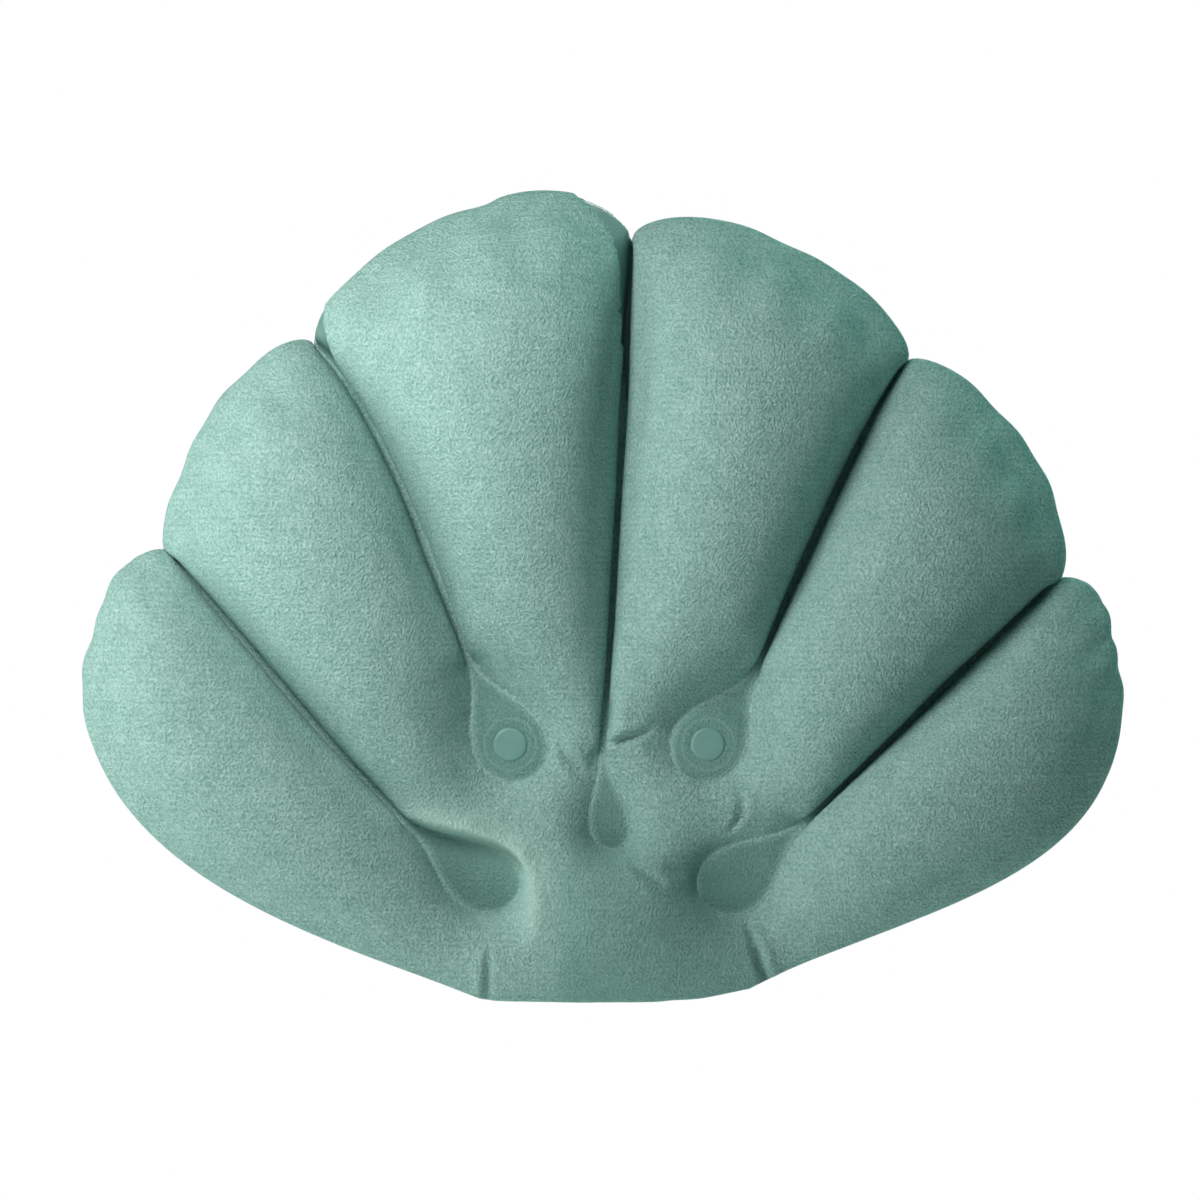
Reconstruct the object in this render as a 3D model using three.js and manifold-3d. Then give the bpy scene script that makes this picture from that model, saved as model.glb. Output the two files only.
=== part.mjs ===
// Inflatable bath pillow in the shape of a scallop shell.
// A terry-faced vinyl front and a plain vinyl back are welded together round the edge and along five
// radial seams, so that air swells them into six lobes over one common base. Two suction cups hang in
// holes punched through the weld drops, and a push-in air valve sits on the back of the base.
// Millimetres. +X is right and +Z is up as seen from the front, which faces -Y.
// The origin lies midway between the suction cups, on the wall that their rims touch (Y = 0).
import * as THREE from 'three';
import { mergeVertices } from 'three/addons/utils/BufferGeometryUtils.js';
import Module from 'manifold-3d';

// Inflated body
const FRONT_CROWN = 43; // how far the fullest lobe swells in front of the welds
const BACK_CROWN = 28.5; // how far it swells behind them
const WALL_CLEARANCE = 1.5; // from the fullest lobe to the wall
const FIT_GAP = 0.3; // between pieces that touch
const EDGE_WELD = 3; // width of the weld round the edge
const SEAM_WELD = 3.5; // width of a radial weld
const TERRY = 2;
const FILM = 0.4;
const WELD_THICKNESS = 0.6;

// Fan: the seams spread from a hub just under the bottom edge
const HUB_X = -2;
const HUB_DROP = 105; // below the suction cups
const FAN_RADIUS = 250; // about from the hub to the outer notches; places in the fan are shares of it
const OUTER_DROP_RADIUS = 14;
const INNER_DROP_RADIUS = 15;
const CENTRE_DROP_RADIUS = 8.5;
const BASE_RISE = 9.5; // bottom edge above the hub, inside the edge weld
const BASE_LEFT = 45; // ends of the bottom edge, left and right of the hub
const BASE_RIGHT = 55;
const BASE_RIGHT_LIFT = 4; // how far the bottom edge climbs to its right end
const FLANK_REACH = 195; // from the hub out to where a side lobe's lower edge becomes its end
const FLANK_HEIGHT = 115;
const LEFT_FLANK_LEAN = 14; // how far the lower edge leans out in its upper part
const RIGHT_FLANK_LEAN = 8;

// Suction cups
const CUP_SPACING = 76;
const CUP_RADIUS = 27;
const CUP_RIM = 2.5; // flat land that seals on the wall
const CUP_LIP = 1; // thickness at the rim
const CUP_HOLLOW = 10;
const CUP_WALL = 3.5; // at the crown of the bell
const CUP_PILLAR_RADIUS = 6;
const CUP_NECK_RADIUS = 3.5;
const CUP_HEAD_RADIUS = 6.7;
const CUP_HEAD_FLAT = 5.2; // radius of the head's flat face
const CUP_HEAD_HEIGHT = 2.2;
const CUP_HEAD_EDGE = 0.9;

// Air valve
const VALVE_RISE = 36; // above the hub
const VALVE_LAND = 15; // depth of the flat land behind the welds
const VALVE_FLANGE_RADIUS = 17;
const VALVE_FLANGE_THICKNESS = 1.2;
const VALVE_FLANGE_EDGE = 0.6;
const VALVE_HUB_RADIUS = 9;
const VALVE_HUB_HEIGHT = 0.8;
const LAND_MARGIN = 2; // flat film past the flange
const LAND_BLEND = 14; // width over which the film takes up its swell again
const STEM_RADIUS = 6;
const STEM_BORE_RADIUS = 3.75;
const STEM_TRAVEL = 8; // how far the pushed-in stem can be drawn out
const STEM_INSIDE = 3; // length past the inner lip
const STEM_LIP = 2; // how far the inner lip stands out
const STEM_LIP_THICKNESS = 1.5;
const STEM_BEAD = 0.8; // bead that keeps the strap's collar on
const COLLAR_WALL = 2;
const COLLAR_HEIGHT = 2.5;
const PLUG_PIN_LENGTH = 5;
const PLUG_PIN_TIP_RADIUS = 2.2;
const PLUG_CAP_RADIUS = 6.8;
const PLUG_CAP_THICKNESS = 1.6;
const PLUG_CAP_CHAMFER = 0.5;
const PLUG_TAB_WIDTH = 5;
const PLUG_TAB_LENGTH = 4;
const STRAP_WIDTH = 4;
const STRAP_THICKNESS = 1.2;
const STRAP_REACH = 2.7; // from the cap's edge out to the bend
const STRAP_DROP = 2.4; // from the stem's mouth down to the bend
const FLAP_THICKNESS = 0.6;
const FLAP_MARGIN = 1.2; // cover over the bore's edge

const ROUND_SIDES = 36;
const SMALL_SIDES = 28;
const HOLE_SIDES = 16;

// Radial welds from left to right. Each runs in from its notch in the outline, past an elbow and a waist,
// to a tip, and widens into a round drop. Places are [degrees from upright, share of FAN_RADIUS], and a
// foot is the place right of the hub where the line of the seam would meet the bottom edge.
// The rows say which rows of the grid pass through the end, the middle and the tip of the drop.
const hub = new THREE.Vector2(HUB_X, -HUB_DROP);
const fanPoint = ([degrees, share]) => {
  const angle = THREE.MathUtils.degToRad(degrees);
  return new THREE.Vector2(Math.sin(angle), Math.cos(angle)).multiplyScalar(share * FAN_RADIUS).add(hub);
};
const leftCup = new THREE.Vector2(-CUP_SPACING / 2, 0);
const rightCup = new THREE.Vector2(CUP_SPACING / 2, 0);
const outerRows = { end: 2, middle: 3, tip: 5 };
const innerRows = { end: 4, middle: 5, tip: 6.8 };
const centreRows = { end: 2, middle: 3, tip: 4 };
const seams = [
  {
    name: 'left_outer', notch: [-43, 0.972], elbow: [-43.6, 0.82], waist: [-44.7, 0.6], tip: [-45.4, 0.424],
    drop: fanPoint([-40.8, 0.28]), dropRadius: OUTER_DROP_RADIUS, foot: -0.55 * BASE_LEFT, rows: outerRows,
  },
  {
    name: 'left_inner', notch: [-23.3, 1.124], elbow: [-20.2, 1.008], waist: [-20.8, 0.6], tip: [-20.8, 0.588],
    drop: leftCup, dropRadius: INNER_DROP_RADIUS, foot: -0.27 * BASE_LEFT, rows: innerRows,
  },
  {
    name: 'centre', notch: [2.1, 1.192], elbow: [1.8, 0.92], waist: [1.1, 0.6], tip: [-0.4, 0.408],
    drop: fanPoint([1.8, 0.292]), dropRadius: CENTRE_DROP_RADIUS, foot: 0.04 * BASE_RIGHT, rows: centreRows,
  },
  {
    name: 'right_inner', notch: [24.6, 1.104], elbow: [23.4, 0.992], waist: [23.7, 0.6], tip: [23.7, 0.584],
    drop: rightCup, dropRadius: INNER_DROP_RADIUS, foot: 0.29 * BASE_RIGHT, rows: innerRows,
  },
  {
    name: 'right_outer', notch: [45.8, 0.956], elbow: [45.8, 0.82], waist: [45.9, 0.6], tip: [45.9, 0.428],
    drop: fanPoint([43.5, 0.288]), dropRadius: OUTER_DROP_RADIUS, foot: 0.55 * BASE_RIGHT, rows: outerRows,
  },
];
// Lobes from left to right: how far each end stands out past the line between its notches, as a share of
// FAN_RADIUS, and how much fuller it is on its right half (positive) or its left half (negative).
const lobeEnds = [
  { swell: 0.048, lean: 0.6 },
  { swell: 0.056, lean: 0.2 },
  { swell: 0.108, lean: 0.2 },
  { swell: 0.08, lean: -0.1 },
  { swell: 0.072, lean: 0 },
  { swell: 0.036, lean: -1.4 },
];
const LOBE_ROUND = 0.6; // power that rounds the ends
// Lower edges of the side lobes. The belly and the shoulder bend them, and lie at shares of FLANK_HEIGHT.
const leftFlank = { side: -1, base: BASE_LEFT, belly: 0.335, shoulder: 0.515, lean: LEFT_FLANK_LEAN };
const rightFlank = { side: 1, base: BASE_RIGHT, belly: 0.43, shoulder: 0.47, lean: RIGHT_FLANK_LEAN };

const backStack = WELD_THICKNESS / 2 + FIT_GAP + FILM;
const frontStack = WELD_THICKNESS / 2 + FIT_GAP + FILM + FIT_GAP + TERRY;
const weldY = -(WALL_CLEARANCE + BACK_CROWN + backStack);
const frontFaceY = weldY - frontStack;
const backFaceY = weldY + backStack;
const valveCentre = new THREE.Vector2(HUB_X, VALVE_RISE - HUB_DROP);
const landY = backFaceY + VALVE_LAND;

const wasm = await Module();
wasm.setup();

function toSolid(geometry) {
  const bare = geometry.clone();
  bare.deleteAttribute('normal');
  bare.deleteAttribute('uv');
  const merged = mergeVertices(bare);
  return new wasm.Manifold(new wasm.Mesh({
    numProp: 3,
    vertProperties: merged.attributes.position.array,
    triVerts: new Uint32Array(merged.index.array),
  }));
}

function toGeometry(solid) {
  const mesh = solid.getMesh();
  return new THREE.BufferGeometry()
    .setAttribute('position', new THREE.BufferAttribute(mesh.vertProperties, 3))
    .setIndex(new THREE.BufferAttribute(mesh.triVerts, 1));
}

const cut = (geometry, ...tools) =>
  toGeometry(tools.reduce((solid, tool) => solid.subtract(toSolid(tool)), toSolid(geometry)));
const join = (geometry, other) => toGeometry(toSolid(geometry).add(toSolid(other)));

// A solid of revolution about an axis along Y. The profile runs from front to back as [radius, y] pairs.
function turned(profile, sides, centre) {
  const points = profile.map(([radius, y]) => new THREE.Vector2(radius, y));
  return new THREE.LatheGeometry(points, sides).translate(centre.x, 0, centre.y);
}

// A round hole through the sheets, along Y.
function bore(radius, centre) {
  const depth = 4 * (FRONT_CROWN + BACK_CROWN);
  return new THREE.CylinderGeometry(radius, radius, depth, HOLE_SIDES).translate(centre.x, weldY, centre.y);
}

// A flat strip between two lines of plan points (x, z), left and right of its run, from y back to
// y + thickness. A closed strip is a ring.
function strip(left, right, y, thickness, closed) {
  const count = left.length;
  const under = 2 * count;
  const positions = [y, y + thickness].flatMap((level) =>
    [...left, ...right].flatMap((point) => [point.x, level, point.y]));
  const quads = [];
  for (let k = 0; k < (closed ? count : count - 1); k++) {
    const next = (k + 1) % count;
    const [a, b, c, d] = [k, count + k, count + next, next];
    quads.push([a, b, c, d], [d + under, c + under, b + under, a + under]);
    quads.push([b, b + under, c + under, c], [d, d + under, a + under, a]);
  }
  if (!closed) {
    const last = count - 1;
    quads.push([0, under, under + count, count]);
    quads.push([last, count + last, under + count + last, under + last]);
  }
  return new THREE.BufferGeometry()
    .setAttribute('position', new THREE.Float32BufferAttribute(positions, 3))
    .setIndex(quads.flatMap(([a, b, c, d]) => [a, b, c, a, c, d]));
}

// Plan of the welds. Row 0 of the grid is the bottom edge, the waist row crosses all seams above their
// drops and the notch row is the ends of the lobes.
const WAIST_ROW = 7;
const NOTCH_ROW = 12;
const DROP_END = 0.93; // where a drop is cut off blunt, as a share of its radius
const baseLine = (x) => hub.y + BASE_RISE + Math.max(0, (x - hub.x) / BASE_RIGHT) ** 3 * BASE_RIGHT_LIFT;

function seamMiddle(seam, row) {
  const [tip, waist, elbow, notch] = [seam.tip, seam.waist, seam.elbow, seam.notch].map(fanPoint);
  if (row > WAIST_ROW) {
    const outer = new THREE.QuadraticBezierCurve(waist, elbow, notch);
    return outer.getPointAt((row - WAIST_ROW) / (NOTCH_ROW - WAIST_ROW));
  }
  const inward = seam.drop.clone().sub(tip).normalize();
  const end = seam.drop.clone().addScaledVector(inward, DROP_END * seam.dropRadius);
  const foot = new THREE.Vector2(hub.x + seam.foot, baseLine(hub.x + seam.foot));
  const rows = [0, seam.rows.end, seam.rows.middle, seam.rows.tip, WAIST_ROW];
  const stops = [foot, end, seam.drop, tip, waist];
  const i = Math.max(1, rows.findIndex((stop) => stop >= row)) - 1;
  return stops[i].clone().lerp(stops[i + 1], (row - rows[i]) / (rows[i + 1] - rows[i]));
}

function seamHalfWidth({ rows, dropRadius }, row) {
  const thin = SEAM_WELD / 2;
  const toTip = THREE.MathUtils.clamp((row - rows.middle) / (rows.tip - rows.middle), 0, 1);
  if (row > rows.middle) return thin + (dropRadius - thin) * (1 + Math.cos(Math.PI * toTip)) / 2;
  const toEnd = DROP_END * Math.min(1, (rows.middle - row) / (rows.middle - rows.end));
  return dropRadius * Math.sqrt(1 - toEnd ** 2);
}

// A point on the left (side -1) or right (side 1) edge of a seam's weld. Below the drop, where nothing is
// welded, the two edges turn upright towards the bottom edge.
function seamEdge(seam, row, side) {
  const upright = new THREE.Vector2(0, 1);
  const outward = fanPoint(seam.waist).sub(seam.drop).normalize();
  const along = upright.lerp(outward, Math.min(1, row / seam.rows.end)).normalize();
  const half = side * seamHalfWidth(seam, row);
  return seamMiddle(seam, row).add(new THREE.Vector2(along.y, -along.x).multiplyScalar(half));
}

// The lower edge of a side lobe, from the bottom corner out and up to where the lobe's end begins.
function flankEdge({ side, base, belly, shoulder, lean }, row) {
  const start = new THREE.Vector2(hub.x + side * base, baseLine(hub.x + side * base));
  const end = new THREE.Vector2(hub.x + side * FLANK_REACH, hub.y + FLANK_HEIGHT);
  const low = new THREE.Vector2((start.x + end.x) / 2, hub.y + belly * FLANK_HEIGHT);
  const high = new THREE.Vector2(end.x - side * lean, hub.y + shoulder * FLANK_HEIGHT);
  return new THREE.CubicBezierCurve(start, low, high, end).getPointAt(row / NOTCH_ROW);
}

// A point of a lobe: across runs from 0 at its left weld to 1 at its right one. The end swells outwards,
// round beside a seam and flatter beside the lower edge.
function lobePoint(lobe, across, row) {
  const { swell, lean } = lobeEnds[lobe];
  const left = lobe === 0 ? flankEdge(leftFlank, row) : seamEdge(seams[lobe - 1], row, 1);
  const right = lobe === seams.length ? flankEdge(rightFlank, row) : seamEdge(seams[lobe], row, -1);
  const t = 2 * across - 1;
  const besideFlank = (lobe === 0 && t < 0) || (lobe === seams.length && t > 0);
  const bow = 1 - t * t;
  const round = besideFlank ? bow : bow ** LOBE_ROUND * (1 + lean * t);
  const outward = new THREE.Vector2(left.y - right.y, right.x - left.x).normalize();
  const share = Math.max(0, (row - WAIST_ROW) / (NOTCH_ROW - WAIST_ROW)) ** 2;
  return left.lerp(right, across).addScaledVector(outward, swell * FAN_RADIUS * round * share);
}

// Grid over the plan. Columns cross the lobes and seams from left to right, rows climb from the bottom
// edge to the lobes' ends.
const LOBE_COLUMNS = [0, 0.07, 0.34, 0.66, 0.93, 1];
const GRID_ROWS = [0, 0.4, 0.9, 1.5, 2, 3, 4, 5, WAIST_ROW, 9.3, 11, 11.75, NOTCH_ROW];
const REFINE = 3; // the air's shape is worked out on a grid this many times finer

const refined = (stops, times) => stops.slice(0, -1).flatMap((a, i) =>
  Array.from({ length: times }, (_, k) => a + (stops[i + 1] - a) * k / times)).concat(stops.at(-1));

function planGrid(times) {
  const rows = refined(GRID_ROWS, times);
  const acrossLobe = refined(LOBE_COLUMNS, times);
  const acrossSeam = refined([0, 1], times).slice(1, -1);
  const columns = [];
  for (let lobe = 0; lobe <= seams.length; lobe++) {
    acrossLobe.forEach((across) => columns.push((row) => ({
      point: lobePoint(lobe, across, row),
      seam: across === 0 ? seams[lobe - 1] : across === 1 ? seams[lobe] : undefined,
    })));
    if (lobe === seams.length) break;
    acrossSeam.forEach((across) => columns.push((row) => ({
      point: seamEdge(seams[lobe], row, -1).lerp(seamEdge(seams[lobe], row, 1), across),
      seam: seams[lobe],
    })));
  }
  const nodes = columns.flatMap((column, c) => rows.map((row, r) => {
    const { point, seam } = column(row);
    const onEdge = c === 0 || c === columns.length - 1 || r === 0 || r === rows.length - 1;
    const onSeam = seam !== undefined && row >= seam.rows.end;
    return { point, welded: onSeam || onEdge, onDrop: onSeam && row <= seam.rows.tip };
  }));
  return { nodes, columns: columns.length, rows: rows.length };
}

// Two triangles for each cell, anticlockwise as seen from the front.
function gridTriangles({ columns, rows }) {
  const triangles = [];
  for (let c = 0; c < columns - 1; c++) {
    for (let r = 0; r < rows - 1; r++) {
      const a = c * rows + r;
      const b = a + rows;
      triangles.push([a, b, b + 1], [a, b + 1, a + 1]);
    }
  }
  return triangles;
}

// Values over the plan that all bend alike, by bend, and are heldAt on the welds. Each node is drawn to
// its neighbours by ties, which are never slack.
const SETTLE_SWEEPS = 700;
const SETTLE_STEP = 1.9;
const LEAST_TIE = 0.01;

function settled(grid, bend, heldAt) {
  const links = grid.nodes.map(() => new Map());
  const load = new Float64Array(grid.nodes.length);
  const tie = (i, j, weight) => links[i].set(j, (links[i].get(j) ?? 0) + weight);
  for (const triangle of gridTriangles(grid)) {
    const [p, q, s] = triangle.map((i) => grid.nodes[i].point);
    const doubleArea = q.clone().sub(p).cross(s.clone().sub(p));
    triangle.forEach((i, k) => {
      const j = triangle[(k + 1) % 3];
      const apex = grid.nodes[triangle[(k + 2) % 3]].point;
      const toI = grid.nodes[i].point.clone().sub(apex);
      const weight = toI.dot(grid.nodes[j].point.clone().sub(apex)) / (2 * doubleArea);
      tie(i, j, weight);
      tie(j, i, weight);
      load[i] += bend * doubleArea / 3;
    });
  }
  const values = Float64Array.from(grid.nodes, (node) => (node.welded ? heldAt(node) : 0));
  const ties = links.map((near) => [...near].map(([j, weight]) => [j, Math.max(LEAST_TIE, weight)]));
  const pulls = ties.map((near) => near.reduce((sum, [, weight]) => sum + weight, 0));
  for (let sweep = 0; sweep < SETTLE_SWEEPS; sweep++) {
    grid.nodes.forEach((node, i) => {
      if (node.welded) return;
      const pull = ties[i].reduce((sum, [j, weight]) => sum + weight * values[j], load[i]);
      values[i] += SETTLE_STEP * (pull / pulls[i] - values[i]);
    });
  }
  return values;
}

// Crown of the inflated film over the plan, from 0 to 1. The square of the film's height bends alike
// everywhere under the air and is zero on the welds, which makes a straight lobe's section a half circle.
// Near the broad drops the film is stretched, and climbs away from the weld more gently.
const DROP_EASE = 0.9;
const plan = planGrid(1);
const finePlan = planGrid(REFINE);
const fineSquare = settled(finePlan, 1, () => 0);
const fineEase = settled(finePlan, 0, (node) => (node.onDrop ? 1 : 0));
const fullest = Math.sqrt(Math.max(...fineSquare));
plan.nodes.forEach((node, i) => {
  const column = Math.floor(i / plan.rows);
  const row = i % plan.rows;
  const fine = (column * finePlan.rows + row) * REFINE;
  const height = Math.sqrt(Math.max(0, fineSquare[fine])) / fullest;
  node.crown = height ** (1 + DROP_EASE * fineEase[fine]);
});

// The edge of the air as a loop of grid nodes, anticlockwise as seen from the front, and the outer edge
// of the weld round it.
const upTo = (count, pick) => Array.from({ length: count }, (_, k) => pick(k));
const lastColumn = (plan.columns - 1) * plan.rows;
const edgeLoop = [
  ...upTo(plan.columns - 1, (c) => c * plan.rows),
  ...upTo(plan.rows - 1, (r) => lastColumn + r),
  ...upTo(plan.columns - 1, (c) => lastColumn - c * plan.rows + plan.rows - 1),
  ...upTo(plan.rows - 1, (r) => plan.rows - 1 - r),
];
const edgeInside = edgeLoop.map((i) => plan.nodes[i].point);
const edgeOutside = edgeInside.map((point, k) => {
  const next = edgeInside[(k + 1) % edgeInside.length];
  const tangent = next.clone().sub(edgeInside.at(k - 1)).normalize();
  return new THREE.Vector2(tangent.y, -tangent.x).multiplyScalar(EDGE_WELD).add(point);
});

// A welded sheet facing the front (-1) or the back (1). Its outside form rises by heightAt over the
// plan, and its two faces lie nearDepth and farDepth inside that form. It is pressed square at the welds.
function sheet(facing, faceY, heightAt, nearDepth, farDepth) {
  const form = plan.nodes.map((node) =>
    new THREE.Vector3(node.point.x, faceY + facing * heightAt(node), node.point.y));
  const rim = edgeOutside.map((point) => new THREE.Vector3(point.x, faceY, point.y));
  const cells = gridTriangles(plan);
  const normals = form.map(() => new THREE.Vector3());
  for (const [a, b, c] of cells) {
    const normal = form[b].clone().sub(form[a]).cross(form[c].clone().sub(form[a])).normalize();
    [a, b, c].forEach((i) => normals[i].addScaledVector(normal, -facing));
  }
  const square = new THREE.Vector3(0, facing, 0);
  const directions = plan.nodes.map((node, i) => (node.welded ? square : normals[i].normalize()));
  rim.forEach(() => directions.push(square));
  const points = [...form, ...rim];
  const face = (depth) => points.map((point, i) => point.clone().addScaledVector(directions[i], -depth));

  const ring = edgeLoop.flatMap((inner, k) => {
    const next = (k + 1) % edgeLoop.length;
    const outer = form.length + k;
    return [[inner, outer, form.length + next], [inner, form.length + next, edgeLoop[next]]];
  });
  const outsideFace = [...cells, ...ring];
  const insideFace = outsideFace.map((triangle) => triangle.map((i) => i + points.length).reverse());
  const edge = rim.flatMap((_, k) => {
    const a = form.length + k;
    const b = form.length + (k + 1) % rim.length;
    return [[a, a + points.length, b + points.length], [a, b + points.length, b]];
  });
  const triangles = [...outsideFace, ...insideFace, ...edge];
  if (facing > 0) triangles.forEach((triangle) => triangle.reverse());
  const positions = [...face(nearDepth), ...face(farDepth)].flatMap((point) => point.toArray());
  return new THREE.BufferGeometry()
    .setAttribute('position', new THREE.Float32BufferAttribute(positions, 3))
    .setIndex(triangles.flat());
}

const finish = (color, roughness) => new THREE.MeshStandardMaterial({ color, roughness, metalness: 0 });
const terryCloth = finish(0x83ada1, 0.95);
const vinyl = finish(0x6d9b8e, 0.4);
const softVinyl = finish(0x8fb5aa, 0.3);

const pillow = new THREE.Group();
function add(name, geometry, material) {
  const mesh = new THREE.Mesh(geometry, material);
  mesh.name = name;
  pillow.add(mesh);
}

// Sheets, punched for the suction cups and for the valve
const holeRadius = CUP_NECK_RADIUS + FIT_GAP;
const cupHoles = [leftCup, rightCup].map((cup) => bore(holeRadius, cup));
const frontHeight = (node) => FRONT_CROWN * node.crown;
const filmDepth = TERRY + FIT_GAP;
add('front_terry', cut(sheet(-1, frontFaceY, frontHeight, 0, TERRY), ...cupHoles), terryCloth);
add('front_film', cut(sheet(-1, frontFaceY, frontHeight, filmDepth, filmDepth + FILM), ...cupHoles), vinyl);

const lipRadius = STEM_RADIUS + STEM_LIP;
const backHeight = (node) => {
  const away = node.point.distanceTo(valveCentre) - VALVE_FLANGE_RADIUS - LAND_MARGIN;
  const swell = THREE.MathUtils.smoothstep(away, 0, LAND_BLEND);
  return node.welded ? 0 : THREE.MathUtils.lerp(VALVE_LAND, BACK_CROWN * node.crown, swell);
};
const valveHole = bore(lipRadius + FIT_GAP, valveCentre);
add('back_film', cut(sheet(1, backFaceY, backHeight, 0, FILM), ...cupHoles, valveHole), vinyl);

// Welds: the fused vinyl between the two films
const weldFrontY = weldY - WELD_THICKNESS / 2;
const SEAM_STEPS = 5;
add('perimeter_weld', strip(edgeInside, edgeOutside, weldFrontY, WELD_THICKNESS, true), vinyl);
for (const seam of seams) {
  const length = fanPoint(seam.notch).distanceTo(fanPoint(seam.waist));
  const lastRow = NOTCH_ROW - FIT_GAP / length * (NOTCH_ROW - WAIST_ROW);
  const rows = refined([seam.rows.end, seam.rows.middle, seam.rows.tip, lastRow], SEAM_STEPS);
  const left = rows.map((row) => seamEdge(seam, row, -1));
  const right = rows.map((row) => seamEdge(seam, row, 1));
  const weld = strip(left, right, weldFrontY, WELD_THICKNESS, false);
  const punched = seam.drop === leftCup || seam.drop === rightCup;
  add(`${seam.name}_seam_weld`, punched ? cut(weld, bore(holeRadius, seam.drop)) : weld, vinyl);
}

// Suction cups: head in front of the terry, neck through the drop, pillar and bell behind, rim on the wall
const headY = frontFaceY - FIT_GAP;
const collarY = backFaceY + FIT_GAP;
const CUP_STEPS = 8;
const HEAD_STEPS = 4;

function cupProfile() {
  const head = upTo(HEAD_STEPS + 1, (k) => {
    const angle = Math.PI / 2 * k / HEAD_STEPS;
    const rise = CUP_HEAD_EDGE + (CUP_HEAD_HEIGHT - CUP_HEAD_EDGE) * Math.cos(angle);
    return [CUP_HEAD_FLAT + (CUP_HEAD_RADIUS - CUP_HEAD_FLAT) * Math.sin(angle), headY - rise];
  });
  const bellY = (radius) =>
    -CUP_LIP - (CUP_HOLLOW + CUP_WALL - CUP_LIP) * (1 - (radius / CUP_RADIUS) ** 2);
  const bell = upTo(CUP_STEPS + 1, (k) => {
    const radius = CUP_PILLAR_RADIUS + (CUP_RADIUS - CUP_PILLAR_RADIUS) * k / CUP_STEPS;
    return [radius, bellY(radius)];
  });
  const hollow = upTo(CUP_STEPS + 1, (k) => {
    const inward = k / CUP_STEPS;
    return [(CUP_RADIUS - CUP_RIM) * (1 - inward), -CUP_HOLLOW * (1 - (1 - inward) ** 2)];
  });
  return [
    [0, headY - CUP_HEAD_HEIGHT],
    ...head,
    [CUP_HEAD_RADIUS, headY],
    [CUP_NECK_RADIUS, headY],
    [CUP_NECK_RADIUS, collarY],
    [CUP_PILLAR_RADIUS, collarY],
    ...bell,
    [CUP_RADIUS, 0],
    ...hollow,
  ];
}
add('left_suction_cup', turned(cupProfile(), ROUND_SIDES, leftCup), softVinyl);
add('right_suction_cup', turned(cupProfile(), ROUND_SIDES, rightCup), softVinyl);

// Valve flange, lying on the back film
const flangeY = landY + FIT_GAP;
const flangeTopY = flangeY + VALVE_FLANGE_THICKNESS;
const hubTopY = flangeTopY + VALVE_HUB_HEIGHT;
const stemHole = STEM_RADIUS + FIT_GAP;
add('valve_flange', turned([
  [stemHole, flangeY],
  [VALVE_FLANGE_RADIUS, flangeY],
  [VALVE_FLANGE_RADIUS, flangeY + VALVE_FLANGE_EDGE],
  [VALVE_HUB_RADIUS, flangeTopY],
  [VALVE_HUB_RADIUS, hubTopY],
  [stemHole, hubTopY],
  [stemHole, flangeY],
], ROUND_SIDES, valveCentre), vinyl);

// Valve stem, pushed in: a tube that slides through the flange, with a lip inside that stops it and a
// bead near its mouth that keeps the strap's collar on
const collarLowY = hubTopY + FIT_GAP;
const collarTopY = collarLowY + COLLAR_HEIGHT;
const beadY = collarTopY + FIT_GAP;
const mouthY = beadY + 2 * STEM_BEAD;
const lipY = landY - STEM_TRAVEL;
const innerY = lipY - STEM_LIP_THICKNESS - STEM_INSIDE;
add('valve_stem', turned([
  [STEM_BORE_RADIUS, innerY],
  [STEM_RADIUS, innerY],
  [STEM_RADIUS, lipY - STEM_LIP_THICKNESS],
  [lipRadius, lipY - STEM_LIP_THICKNESS],
  [lipRadius, lipY],
  [STEM_RADIUS, lipY],
  [STEM_RADIUS, beadY],
  [STEM_RADIUS + STEM_BEAD, beadY + STEM_BEAD / 2],
  [STEM_RADIUS + STEM_BEAD, beadY + STEM_BEAD],
  [STEM_RADIUS, mouthY],
  [STEM_BORE_RADIUS, mouthY],
  [STEM_BORE_RADIUS, innerY],
], SMALL_SIDES, valveCentre), softVinyl);

// A bar centred on the valve, from its side outline of [y, height above the stem's axis] pairs.
function sideBar(outline, width) {
  const shape = new THREE.Shape(outline.map(([y, z]) => new THREE.Vector2(y, z)));
  const geometry = new THREE.ExtrudeGeometry(shape, { depth: width, bevelEnabled: false });
  const [x, y, z] = [[1, 0, 0], [0, 1, 0], [0, 0, 1]].map((axis) => new THREE.Vector3(...axis));
  geometry.applyMatrix4(new THREE.Matrix4().makeBasis(y, z, x));
  return geometry.translate(valveCentre.x - width / 2, 0, valveCentre.y);
}

// Strap collar: a ring under the bead, with a lug below the strap's bend
const bendY = mouthY - STRAP_DROP;
const bendHeight = PLUG_CAP_RADIUS + STRAP_REACH;
const halfStrap = STRAP_THICKNESS / 2;
const collarRadius = stemHole + COLLAR_WALL;
const collarMiddle = stemHole + COLLAR_WALL / 2;
const lugTopY = bendY - halfStrap - FIT_GAP;
const collar = turned([
  [stemHole, collarLowY],
  [collarRadius, collarLowY],
  [collarRadius, collarTopY],
  [stemHole, collarTopY],
  [stemHole, collarLowY],
], SMALL_SIDES, valveCentre);
const lug = sideBar([
  [collarLowY, collarMiddle],
  [lugTopY, collarMiddle],
  [lugTopY, bendHeight],
  [collarLowY, bendHeight],
], STRAP_WIDTH);
add('strap_collar', join(collar, lug), softVinyl);

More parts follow.
